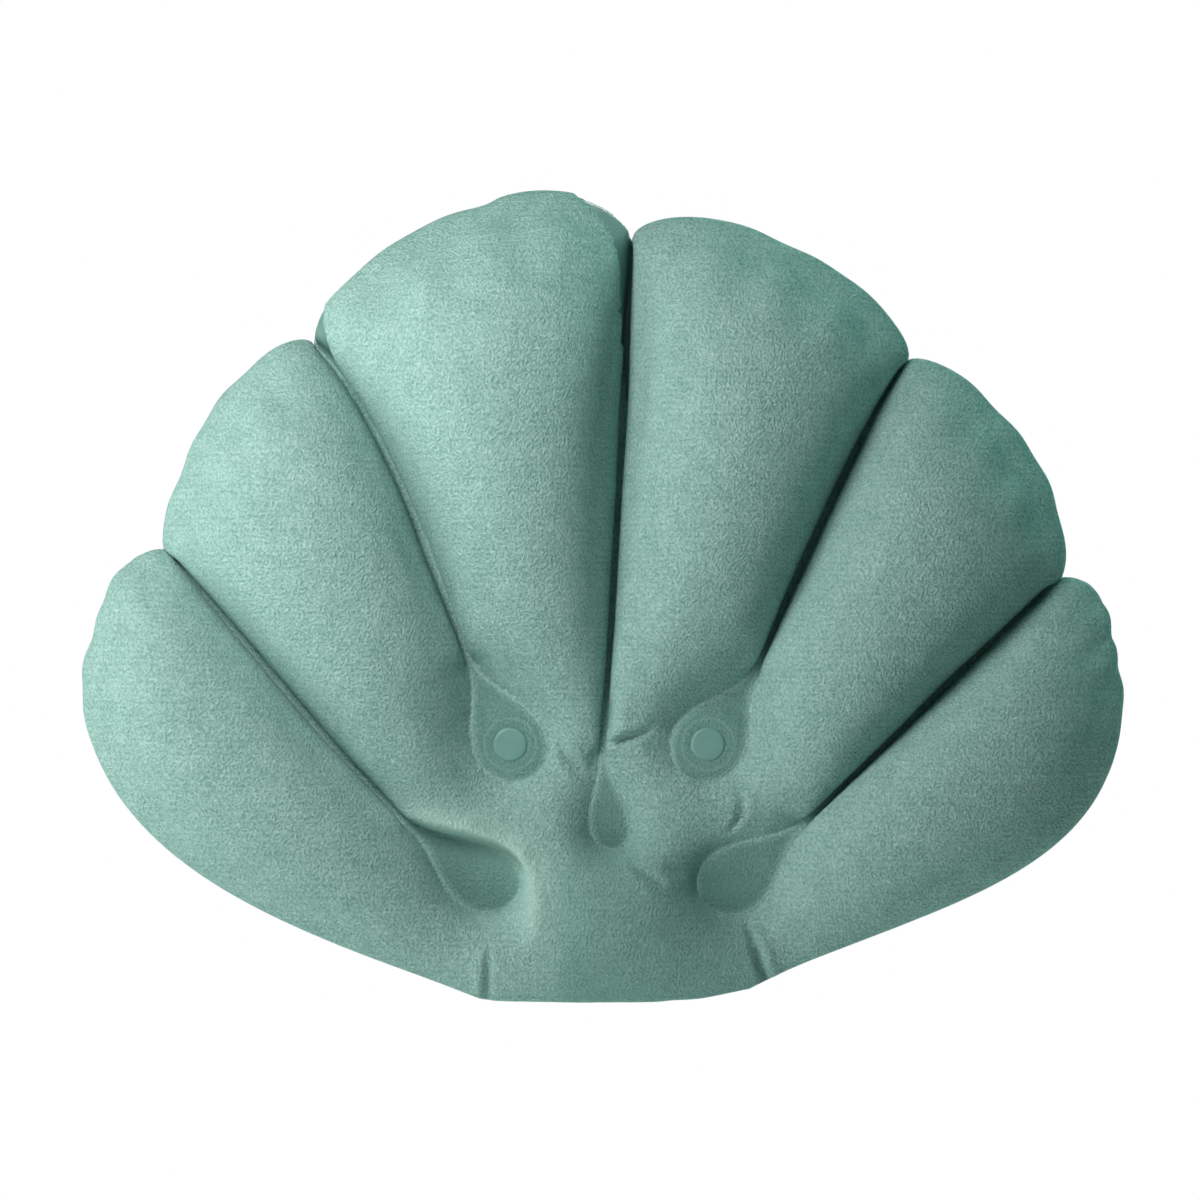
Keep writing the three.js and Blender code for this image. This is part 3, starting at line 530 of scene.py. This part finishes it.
# The belly over the ends of the lobes is a little uneven, which makes their outline slightly wavy
ripple = (np.sin(2 * np.pi * (1.7 * plan["share"] + 0.31 * plan["lobe"]))
          + 0.6 * np.sin(2 * np.pi * (4.3 * plan["share"] + 0.57 * plan["lobe"])))
ripple *= 4 * plan["share"] * (1 - plan["share"]) * smooth_step(row, 7.0, 10.0)
terry_points = swollen(plan, rise, edge_share, FRONT_Y, -1, EDGE_OVERHANG * (1 + RIPPLE * ripple))
terry_points += cloth_wrinkles(FRONT_Y, FRONT_CROWN, -1)

# Folds drawn into the terry round the drops and at the bottom corners: line, depth and half width. Each is
# deepest in the middle of its run and has a soft lip on its left. The last is a ridge over the left drop.
RIDGE = ((-92, -20), (-79.9, -27.5), (-53.2, -33), (-35, -43), (-28.5, -59), (-28, -80))
FOLDS = (
    (((2.2, 22), (0.3, 8.5), (-3.5, -0.7), (-6.2, -8.3), (-4.7, -17.1)), 4.5, 1.6),
    (((-4.5, -1.2), (4.1, 1.2), (18, 6.2)), 3.0, 1.4),
    (((-20.5, 1.5), (-16.1, -5.7), (-6.5, -13.2)), 3.4, 1.5),
    (((48.6, -15.5), (51.1, -22.1), (50.3, -27.4), (45.3, -35.4)), 2.2, 1.2),
    (((-46.0, -104), (-45.8, -76)), 2.2, 1.3),
    (((51.6, -66.0), (56.5, -80.2), (63, -101)), 3.6, 1.5),
    (((21.4, -53.7), (15.6, -50.4), (7.1, -45.4)), 2.0, 1.6),
    (((30.2, -50.4), (20.1, -46.1)), 2.0, 1.6),
    (RIDGE, -5.0, 4.5),
)
place = plan["place"]
free = smooth_step(crown, 0.0, 0.12)
for line, depth, width in FOLDS:
    gap, along = line_distance(place, line)
    deep = free * depth * 4 * along * (1 - along)
    lip = 0.3 * np.exp(-((gap / width - 2.6) / 1.6) ** 2)
    terry_points[..., 1] += deep * (np.exp(-(gap / width) ** 2) - lip)

# Two crescents of bare film at the end of the third lobe, where the terry is cut short of the weld
BARE_RIGHT = ((-15.8, 214), (-7.3, 206.4), (0.3, 197.6), (4.1, 185.4), (4.9, 168))
BARE_LEFT = ((-91, 120), (-100, 136), (-103.5, 143.5), (-106.5, 150), (-109.3, 159.7), (-109.4, 178))
seen_at = terry_points[..., [0, 2]]
bare = np.maximum(line_distance(seen_at, BARE_RIGHT)[0], line_distance(seen_at, BARE_LEFT)[0])
bare = np.where((plan["lobe"] == 2) & (row > 10.0), bare, -20.0)
TERRY_THICKNESS = 1.6
cut_back = TERRY_THICKNESS * smooth_step(bare, -0.2, 1.2)
terry_points -= grid_normals(terry_points) * cut_back[..., None]

# The pile stands up round the heads of the suction cups, which sink into it
cup_gap = np.minimum(np.linalg.norm(place - LEFT_CUP, axis=-1), np.linalg.norm(place - RIGHT_CUP, axis=-1))
PILE_RISE, PILE_FROM, PILE_TO = 1.9, (4.4, 5.8), (10.0, 22.0)
terry_points[..., 1] -= PILE_RISE * smooth_step(cup_gap, *PILE_FROM) * (1 - smooth_step(cup_gap, *PILE_TO))
HOLE_RADIUS = 3.8
faces = grid_faces(columns, rows)
past_holes = cup_gap.ravel()[faces].mean(axis=1) > HOLE_RADIUS
terry = put_mesh("terry_face", terry_points, faces[past_holes])


def put_values(piece, name, values):
    """Writes one number for each point of a piece, for its material to read."""
    attribute = piece.data.attributes.new(name, "FLOAT", "POINT")
    attribute.data.foreach_set("value", values.ravel().astype(np.float32))


put_values(terry, "bare", bare)
put_values(terry, "pressed", plan["inside"] * (plan["ease"] > 0))
put_values(terry, "from_cup", cup_gap)
# Where the ridge over the left drop lies, for the painted highlight along it
gap, along = line_distance(place, RIDGE)
RAISED_WIDTH = 7.0
put_values(terry, "raised", np.exp(-(gap / RAISED_WIDTH) ** 2) * 4 * along * (1 - along))
# Near the bottom edge of the base, from left of the middle to the right, for the painted shade there
BASE_SHADE_ROWS, BASE_SHADE_LEFT, BASE_SHADE_RIGHT = (1.5, 4.0), (-28, -12), (45, 70)
put_values(terry, "painted_base_shade", (1 - smooth_step(row, *BASE_SHADE_ROWS)) * smooth_step(place[..., 0], *BASE_SHADE_LEFT)
           * (1 - smooth_step(place[..., 0], *BASE_SHADE_RIGHT)))

terry_cloth = blank_material("cotton terry loops")
tree = terry_cloth.node_tree
where = add_node(tree, "ShaderNodeTexCoord")
# Short loops give a fine curly grain, with faint knit rows and broader patches where the pile lies
# differently
LOOP_MM, ROW_MM, PATCH_MM = 0.95, 2.4, 9.0
WAVE_REPEAT = 0.314  # after which a wave texture of scale 1 repeats
loops = add_node(tree, "ShaderNodeTexNoise", {
    "Vector": where.outputs["Object"], "Scale": 1 / (LOOP_MM * MM), "Detail": 2.0, "Roughness": 0.65,
    "Distortion": 0.2})
knit = add_node(tree, "ShaderNodeTexWave", {
    "Vector": where.outputs["Object"], "Scale": WAVE_REPEAT / (ROW_MM * MM), "Distortion": 1.5,
    "Detail": 1.0, "Detail Scale": 2.0}, bands_direction="Z")
patches = add_node(tree, "ShaderNodeTexNoise", {
    "Vector": where.outputs["Object"], "Scale": 1 / (PATCH_MM * MM), "Detail": 3.0})
curl = add_node(tree, "ShaderNodeMapRange", {
    "Value": loops.outputs["Fac"], "From Min": 0.32, "From Max": 0.68})
rows_in = add_node(tree, "ShaderNodeMath", {0: knit.outputs["Fac"], 1: 0.12, 2: curl.outputs[0]},
                   operation="MULTIPLY_ADD")
pile = add_node(tree, "ShaderNodeMath", {0: patches.outputs["Fac"], 1: 0.6, 2: rows_in.outputs[0]},
                operation="MULTIPLY_ADD")
shade = add_node(tree, "ShaderNodeMapRange", {"Value": pile.outputs[0], "From Min": 0.1, "From Max": 1.6})
tint = add_node(tree, "ShaderNodeMix", {0: shade.outputs[0], 6: linear("#63948d"), 7: linear("#aed7d0")},
                data_type="RGBA")
# Painted highlight: the terry is paler along the ridge over the left drop, where the light from the left
# falls
raised = add_node(tree, "ShaderNodeAttribute", attribute_name="raised")
ridge_highlight_share = add_node(tree, "ShaderNodeMath", {0: raised.outputs["Fac"], 1: 0.6}, operation="MULTIPLY")
ridge_lit = add_node(tree, "ShaderNodeMix", {0: ridge_highlight_share.outputs[0], 6: tint.outputs[2], 7: linear("#bfeadf")},
                   data_type="RGBA")
# Painted shade: the terry is darker along the bottom of the base, for the shade that falls there
painted_base_shade = add_node(tree, "ShaderNodeAttribute", attribute_name="painted_base_shade")
base_shade_share = add_node(tree, "ShaderNodeMath", {0: painted_base_shade.outputs["Fac"], 1: 0.45}, operation="MULTIPLY")
base_shaded = add_node(tree, "ShaderNodeMix", {0: base_shade_share.outputs[0], 6: ridge_lit.outputs[2], 7: linear("#63948d")},
                data_type="RGBA")
# On the drops the pile is pressed flat and smoother, and painted darker for the shade in the deep drops under
# the lobes, with a paler line along the border and a faint ring that the welding tool left round each cup's
# head
inside = add_node(tree, "ShaderNodeAttribute", attribute_name="pressed")
flat = add_node(tree, "ShaderNodeMapRange", {"Value": inside.outputs["Fac"], "From Max": 4.0, "To Max": 0.6})
line = add_node(tree, "ShaderNodeMath", {0: inside.outputs["Fac"], 1: 1.2, 2: 0.45}, operation="COMPARE")
from_cup = add_node(tree, "ShaderNodeAttribute", attribute_name="from_cup")
ring = add_node(tree, "ShaderNodeMath", {0: from_cup.outputs["Fac"], 1: 10.0, 2: 0.5}, operation="COMPARE")
border = add_node(tree, "ShaderNodeMath", {0: ring.outputs[0], 1: 0.5, 2: line.outputs[0]},
                  operation="MULTIPLY_ADD")
# Painted shade: the drops are painted darker, for the shade that falls in them under the lobes
painted_drop_shade = add_node(tree, "ShaderNodeMix", {0: flat.outputs[0], 6: base_shaded.outputs[2], 7: linear("#497a73")},
                data_type="RGBA")
marked = add_node(tree, "ShaderNodeMath", {0: border.outputs[0], 1: 0.3}, operation="MULTIPLY")
pale = add_node(tree, "ShaderNodeMix", {0: marked.outputs[0], 6: painted_drop_shade.outputs[2], 7: linear("#a5d0ca")},
                data_type="RGBA")
nap = add_node(tree, "ShaderNodeMapRange", {"Value": flat.outputs[0], "To Min": 1.0, "To Max": 0.6})
bump = add_node(tree, "ShaderNodeBump", {
    "Height": rows_in.outputs[0], "Strength": nap.outputs[0], "Distance": 0.5 * MM})
cloth_shader = add_node(tree, "ShaderNodeBsdfPrincipled", {
    "Base Color": pale.outputs[2], "Roughness": 0.95, "Normal": bump.outputs[0], "Specular IOR Level": 0.05,
    "Sheen Weight": 0.2, "Sheen Roughness": 0.45, "Sheen Tint": linear("#8ccdbf")})
# The bare crescents show the film that the terry is laminated to
bare_at = add_node(tree, "ShaderNodeAttribute", attribute_name="bare")
bare_share = add_node(tree, "ShaderNodeMapRange", {
    "Value": bare_at.outputs["Fac"], "From Min": -0.3, "From Max": 0.3})
film_shader = add_node(tree, "ShaderNodeBsdfPrincipled", {"Base Color": linear("#537d77"), "Roughness": 0.6})
mixed = add_node(tree, "ShaderNodeMixShader", {0: bare_share.outputs[0], 1: cloth_shader.outputs[0],
                                               2: film_shader.outputs[0]})
add_node(tree, "ShaderNodeOutputMaterial", {"Surface": mixed.outputs[0]})
terry.data.materials.append(terry_cloth)
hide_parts("front_terry", "front_film")
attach(terry, "pillow")

# Vinyl back: smooth vinyl film welded to the front along the same lines, punched for the cups and the
# valve, and drawn flat where the valve's flange is welded on.
BACK_CROWN, BACK_Y, BACK_OVERHANG = 28.5, -30.0, 3.0
VALVE = np.array([-2.0, -69.0])
FLANGE_RADIUS, LAND_DEPTH, LAND_MARGIN, LAND_BLEND, VALVE_HOLE = 17.0, 15.0, 2.0, 14.0, 10.5
valve_gap = np.linalg.norm(place - VALVE, axis=-1)
swell = smooth_step(valve_gap, FLANGE_RADIUS + LAND_MARGIN, FLANGE_RADIUS + LAND_MARGIN + LAND_BLEND)
land = (1 - swell) * smooth_step(crown, 0.0, 0.25)
back_rise = BACK_CROWN * crown + (LAND_DEPTH - BACK_CROWN * crown) * land
back_points = swollen(plan, back_rise, edge_share, BACK_Y, 1, BACK_OVERHANG)
back_points += cloth_wrinkles(BACK_Y, BACK_CROWN, 1) * swell[..., None]
past_valve = valve_gap.ravel()[faces].mean(axis=1) > VALVE_HOLE
back = put_mesh("vinyl_back", back_points, faces[past_holes & past_valve][:, ::-1])

film = blank_material("calendered vinyl film")
tree = film.node_tree
where = add_node(tree, "ShaderNodeTexCoord")
# Uneven gloss over a few centimetres and a fine leathery grain keep the large smooth face from looking
# dead. The grain is drawn coarser than the real one, so that it shows.
HAZE_MM, GRAIN_MM = 22, 1.1
haze = add_node(tree, "ShaderNodeTexNoise", {
    "Vector": where.outputs["Object"], "Scale": 1 / (HAZE_MM * MM), "Detail": 3.0})
grain = add_node(tree, "ShaderNodeTexNoise", {
    "Vector": where.outputs["Object"], "Scale": 1 / (GRAIN_MM * MM), "Detail": 2.0})
tint = add_node(tree, "ShaderNodeMix", {0: haze.outputs["Fac"], 6: linear("#5d908a"), 7: linear("#76a7a0")},
                data_type="RGBA")
gloss = add_node(tree, "ShaderNodeMapRange", {"Value": haze.outputs["Fac"], "To Min": 0.28, "To Max": 0.5})
bump = add_node(tree, "ShaderNodeBump", {
    "Height": grain.outputs["Fac"], "Strength": 0.25, "Distance": 0.15 * MM})
shader = add_node(tree, "ShaderNodeBsdfPrincipled", {
    "Base Color": tint.outputs[2], "Roughness": gloss.outputs[0], "Normal": bump.outputs[0]})
add_node(tree, "ShaderNodeOutputMaterial", {"Surface": shader.outputs[0]})
back.data.materials.append(film)
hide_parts("back_film")
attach(back, "pillow")

# Edge weld: the two films fused flat all round into a thin rim, narrower in the notches between the lobes.
EDGE_WELD, NOTCH_WELD, NOTCH_BLEND = 3.0, 0.8, (2.0, 14.0)
loop = np.concatenate([place[:-1, 0], place[-1, :-1], place[:0:-1, -1], place[0, :0:-1]])
tangent = np.roll(loop, -1, axis=0) - np.roll(loop, 1, axis=0)
tangent /= np.linalg.norm(tangent, axis=-1, keepdims=True)
outward = np.stack([tangent[:, 1], -tangent[:, 0]], axis=-1)
from_notch = np.min([np.linalg.norm(loop - weld["notch"], axis=-1) for weld in SEAMS], axis=0)
width = NOTCH_WELD + (EDGE_WELD - NOTCH_WELD) * smooth_step(from_notch, *NOTCH_BLEND)


def rounded(corners, radii, closed):
    """A broken line with its corners rounded: a quadratic curve begins and ends up to a radius away from
    each corner, and no further than just short of half way to the next."""
    corners = np.array(corners, float)
    radii = np.broadcast_to(radii, len(corners))

    def cut(step):
        length = np.maximum(1e-9, np.linalg.norm(step, axis=-1))
        return corners + step * (np.minimum(radii, 0.48 * length) / length)[:, None]

    start, end = cut(np.roll(corners, 1, axis=0) - corners), cut(np.roll(corners, -1, axis=0) - corners)
    t = np.linspace(0, 1, 7)[None, :, None]
    curve = (1 - t) ** 2 * start[:, None] + 2 * t * (1 - t) * corners[:, None] + t ** 2 * end[:, None]
    if closed:
        return curve.reshape(-1, 2)
    return np.concatenate([corners[:1], curve[1:-1].reshape(-1, 2), corners[-1:]])


def put_closed(name, *surfaces):
    """One object from closed grid surfaces, each an array of points and how it wraps round. Points in the
    same place become one, so that seams and poles close, and the faces are turned outwards."""
    points, quads = [], []
    for grid, wrap in surfaces:
        quads.append(grid_faces(*grid.shape[:2], wrap) + sum(map(len, points)))
        points.append(grid.reshape(-1, 3))
    merged, back_to = np.unique(np.round(np.concatenate(points), 4), axis=0, return_inverse=True)
    quads = back_to.ravel()[np.concatenate(quads)]
    fresh = quads != np.roll(quads, -1, axis=1)
    outlines = [quad[kept].tolist() for quad, kept in zip(quads, fresh) if kept.sum() > 2]
    piece = put_mesh(name, merged, outlines)
    shape = bmesh.new()
    shape.from_mesh(piece.data)
    bmesh.ops.recalc_face_normals(shape, faces=shape.faces)
    shape.to_mesh(piece.data)
    shape.free()
    return piece


# The rim's section, between the two sheets: it is tucked in a little and reaches out by the weld's width
RIM_TUCK, RIM_BACK_Y, RIM_FRONT_Y = 0.8, -30.1, -34.2
rim = rounded([(-RIM_TUCK, RIM_BACK_Y), (1, RIM_BACK_Y), (1, RIM_FRONT_Y), (-RIM_TUCK, RIM_FRONT_Y)],
              (0.1, 1.2, 1.2, 0.1), True)
offset = np.where(rim[:, 0] > 0, rim[:, 0] * width[:, None], rim[:, 0])
edge_points = np.empty((len(loop), len(rim), 3))
edge_points[..., 0] = loop[:, :1] + outward[:, :1] * offset
edge_points[..., 1] = rim[:, 1]
edge_points[..., 2] = loop[:, 1:] + outward[:, 1:] * offset
edge_weld = put_closed("edge_weld", (edge_points, (True, True)))
edge_weld.data.materials.append(film)
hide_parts("perimeter_weld")
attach(edge_weld, "pillow")

# Seam welds and the valve's inner flap: fused or cut film, hidden between and behind the sheets.
for name in ("left_outer_seam_weld", "left_inner_seam_weld", "centre_seam_weld", "right_inner_seam_weld",
             "right_outer_seam_weld", "valve_flap"):
    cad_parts[name].data.materials.clear()
    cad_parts[name].data.materials.append(film)

# Suction cups: each one soft vinyl moulding, a flat button head on the terry, a neck through the punched
# drop, a pillar and a bell whose rim seals on the wall.
soft_vinyl = blank_material("moulded soft vinyl")
tree = soft_vinyl.node_tree
where = add_node(tree, "ShaderNodeTexCoord")
# Slightly cloudy through its depth, with a soft sheen that small mould marks break up. The marks are drawn
# coarser than the real ones, so that they show.
CLOUD_MM, MARK_MM = 7, 0.9
cloud = add_node(tree, "ShaderNodeTexNoise", {
    "Vector": where.outputs["Object"], "Scale": 1 / (CLOUD_MM * MM), "Detail": 2.0})
marks = add_node(tree, "ShaderNodeTexNoise", {
    "Vector": where.outputs["Object"], "Scale": 1 / (MARK_MM * MM), "Detail": 2.0})
tint = add_node(tree, "ShaderNodeMix", {0: cloud.outputs["Fac"], 6: linear("#578881"), 7: linear("#6c9c95")},
                data_type="RGBA")
gloss = add_node(tree, "ShaderNodeMapRange", {"Value": marks.outputs["Fac"], "To Min": 0.38, "To Max": 0.55})
bump = add_node(tree, "ShaderNodeBump", {
    "Height": marks.outputs["Fac"], "Strength": 0.15, "Distance": 0.1 * MM})
shader = add_node(tree, "ShaderNodeBsdfPrincipled", {
    "Base Color": tint.outputs[2], "Roughness": gloss.outputs[0], "Normal": bump.outputs[0],
    "Subsurface Weight": 0.2, "Subsurface Scale": 1.5 * MM})
add_node(tree, "ShaderNodeOutputMaterial", {"Surface": shader.outputs[0]})


def turned(profile, centre, sides=96):
    """Surface of revolution about an axis along Y: a profile of radius and y, carried round the centre."""
    angle = 2 * np.pi * np.arange(sides) / sides
    radius, y = profile[:, :1], np.repeat(profile[:, 1:], sides, axis=1)
    return np.stack([centre[0] + radius * np.cos(angle), y, centre[1] + radius * np.sin(angle)], axis=-1)


CUP_RADIUS, CUP_RIM, CUP_HOLLOW, CUP_WALL, CUP_LIP, PILLAR = 27.0, 2.5, 10.0, 3.5, 1.0, 6.0
HEAD_Y, HEAD_RADIUS, HEAD_HEIGHT, NECK, COLLAR_Y = -34.6, 6.7, 2.2, 3.5, -29.7
bell_radius = np.linspace(PILLAR, CUP_RADIUS, 12)
bell_height = (CUP_HOLLOW + CUP_WALL - CUP_LIP) * (1 - (bell_radius / CUP_RADIUS) ** 2)
bell = np.stack([bell_radius, -CUP_LIP - bell_height], 1)
inner_radius = np.linspace(CUP_RADIUS - CUP_RIM, 0, 14)
hollow = np.stack([inner_radius, -CUP_HOLLOW * (1 - (inner_radius / inner_radius[0]) ** 2)], 1)
HEAD_TOP_Y = HEAD_Y - HEAD_HEIGHT
stud = [(0, HEAD_TOP_Y), (HEAD_RADIUS, HEAD_TOP_Y), (HEAD_RADIUS, HEAD_Y), (NECK, HEAD_Y), (NECK, COLLAR_Y),
        (PILLAR, COLLAR_Y)]
cup_line = np.concatenate([stud, bell, [(CUP_RADIUS, 0)], hollow])
# Rounding of the profile's corners: the stud and the bell's foot, the bell, the rim, the hollow
cup_radii = np.concatenate([[0, 1.6, 0.6, 0.2, 0.2, 0.8, 3.0], np.full(10, 0.9), [0.5, 0.3, 0.6],
                            np.full(13, 0.8)])
cup_profile = rounded(cup_line, cup_radii, False)
for side, centre in (("left", LEFT_CUP), ("right", RIGHT_CUP)):
    cup = put_closed(f"{side}_cup_moulding", (turned(cup_profile, centre), (False, True)))
    cup.data.materials.append(soft_vinyl)
    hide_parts(f"{side}_suction_cup")
    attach(cup, f"{side}_cup")

# Valve flange: a thin vinyl disc welded to the back film, with a raised hub that the stem slides through.
STEM_HOLE, HUB_RADIUS = 6.3, 9.0
FLANGE_FOOT_Y, FLANGE_EDGE_Y, HUB_FOOT_Y, HUB_Y = -14.7, -14.1, -13.5, -12.7
flange_line = [(STEM_HOLE, FLANGE_FOOT_Y), (FLANGE_RADIUS, FLANGE_FOOT_Y), (FLANGE_RADIUS, FLANGE_EDGE_Y),
               (HUB_RADIUS, HUB_FOOT_Y), (HUB_RADIUS, HUB_Y), (STEM_HOLE, HUB_Y)]
flange = put_closed("valve_disc", (turned(rounded(flange_line, 0.35, True), VALVE), (True, True)))
flange.data.materials.append(film)
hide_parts("valve_flange")
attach(flange, "pillow")

# Valve stem: a soft tube pushed into the pillow, with an inner lip that stops it and a bead at its mouth.
STEM, BORE, LIP, BEAD = 6.0, 3.75, 8.0, 6.8
STEM_FOOT_Y, LIP_FOOT_Y, LIP_Y, BEAD_FOOT_Y, STEM_Y = -27.5, -24.5, -23.0, -9.6, -8.0
stem_line = [(BORE, STEM_FOOT_Y), (STEM, STEM_FOOT_Y), (STEM, LIP_FOOT_Y), (LIP, LIP_FOOT_Y), (LIP, LIP_Y),
             (STEM, LIP_Y), (STEM, BEAD_FOOT_Y), (BEAD, -9.2), (BEAD, -8.8), (STEM, STEM_Y), (BORE, STEM_Y)]
stem = put_closed("stem_tube", (turned(rounded(stem_line, 0.4, True), VALVE), (True, True)))
stem.data.materials.append(soft_vinyl)
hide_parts("valve_stem")
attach(stem, "stem")

# Strap collar: a ring round the stem below its bead, moulded in one with the strap and the plug.
RING, RING_FOOT_Y, RING_Y = 8.3, -12.4, -9.9
collar_line = [(STEM_HOLE, RING_FOOT_Y), (RING, RING_FOOT_Y), (RING, RING_Y), (STEM_HOLE, RING_Y)]
collar = put_closed("collar_ring", (turned(rounded(collar_line, 0.5, True), VALVE), (True, True)))
collar.data.materials.append(soft_vinyl)
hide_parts("strap_collar")
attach(collar, "stem")

# Plug: a cap with a tapered pin that stops the stem's bore, and a finger tab to pull it out by.
PIN_END, PIN_ROOT, CAP, PIN_Y, CAP_FOOT_Y, CAP_Y = 2.2, 3.45, 6.8, -13.0, -7.7, -6.1
plug_line = [(0, PIN_Y), (PIN_END, PIN_Y), (PIN_ROOT, CAP_FOOT_Y), (CAP, CAP_FOOT_Y), (CAP, CAP_Y),
             (0, CAP_Y)]
plug_profile = rounded(plug_line, (0, 0.5, 0.2, 0.3, 0.7, 0), False)
TAB_MIDDLE, TAB_HALF = np.array([VALVE[0], -7.15, VALVE[1] - 7.3]), np.array([2.5, 0.55, 3.5])
TAB_OUTLINE, TAB_EDGE = 0.6, 0.35  # how square its outline and its edge are, less being squarer
u, v = np.meshgrid(np.linspace(0, 2 * np.pi, 48, endpoint=False), np.linspace(-np.pi / 2, np.pi / 2, 25),
                   indexing="ij")


def squarer(wave, power):
    """A sine or cosine raised to a power that keeps its sign: below 1 it squares off a round outline."""
    return np.sign(wave) * np.abs(wave) ** power


# The tab is a flat ellipsoid with squared-off sides
tab_ball = np.stack([squarer(np.cos(u), TAB_OUTLINE) * squarer(np.cos(v), TAB_EDGE),
                     squarer(np.sin(v), TAB_EDGE),
                     squarer(np.sin(u), TAB_OUTLINE) * squarer(np.cos(v), TAB_EDGE)], axis=-1)
tab = TAB_MIDDLE + TAB_HALF * tab_ball
plug = put_closed("plug_cap", (turned(plug_profile, VALVE), (False, True)), (tab, (True, False)))
plug.data.materials.append(soft_vinyl)
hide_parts("valve_plug")
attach(plug, "plug")

# Plug strap: a short flat strap that bends from the collar round to the edge of the cap.
STRAP_HALF_WIDTH, STRAP_HALF = 2.0, 0.6
strap_corners = [(-7.1, -62.6), (-7.1, -59.5), (-11.85, -59.5), (-11.85, -62.2)]
strap_path = rounded(strap_corners, (0, 1.4, 1.2, 0), False)
steps = np.linspace(0, len(strap_path) - 1, 40)
strap_path = np.stack([np.interp(steps, np.arange(len(strap_path)), strap_path[:, i]) for i in (0, 1)],
                      axis=-1)
run = np.gradient(strap_path, axis=0)
run /= np.linalg.norm(run, axis=-1, keepdims=True)
section = rounded([(-STRAP_HALF_WIDTH, -STRAP_HALF), (STRAP_HALF_WIDTH, -STRAP_HALF),
                   (STRAP_HALF_WIDTH, STRAP_HALF), (-STRAP_HALF_WIDTH, STRAP_HALF)], 0.4, True)
path_points = strap_path[[0, *range(len(strap_path)), -1]]
run = run[[0, *range(len(run)), -1]]
full = np.concatenate([[[0.0]], np.ones((len(strap_path), 1)), [[0.0]]])
strap_points = np.stack([VALVE[0] + full * section[:, 0],
                         path_points[:, :1] - run[:, 1:] * full * section[:, 1],
                         path_points[:, 1:] + run[:, :1] * full * section[:, 1]], axis=-1)
strap = put_closed("strap_ribbon", (strap_points, (False, True)))
strap.data.materials.append(soft_vinyl)
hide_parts("plug_strap")
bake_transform(strap)
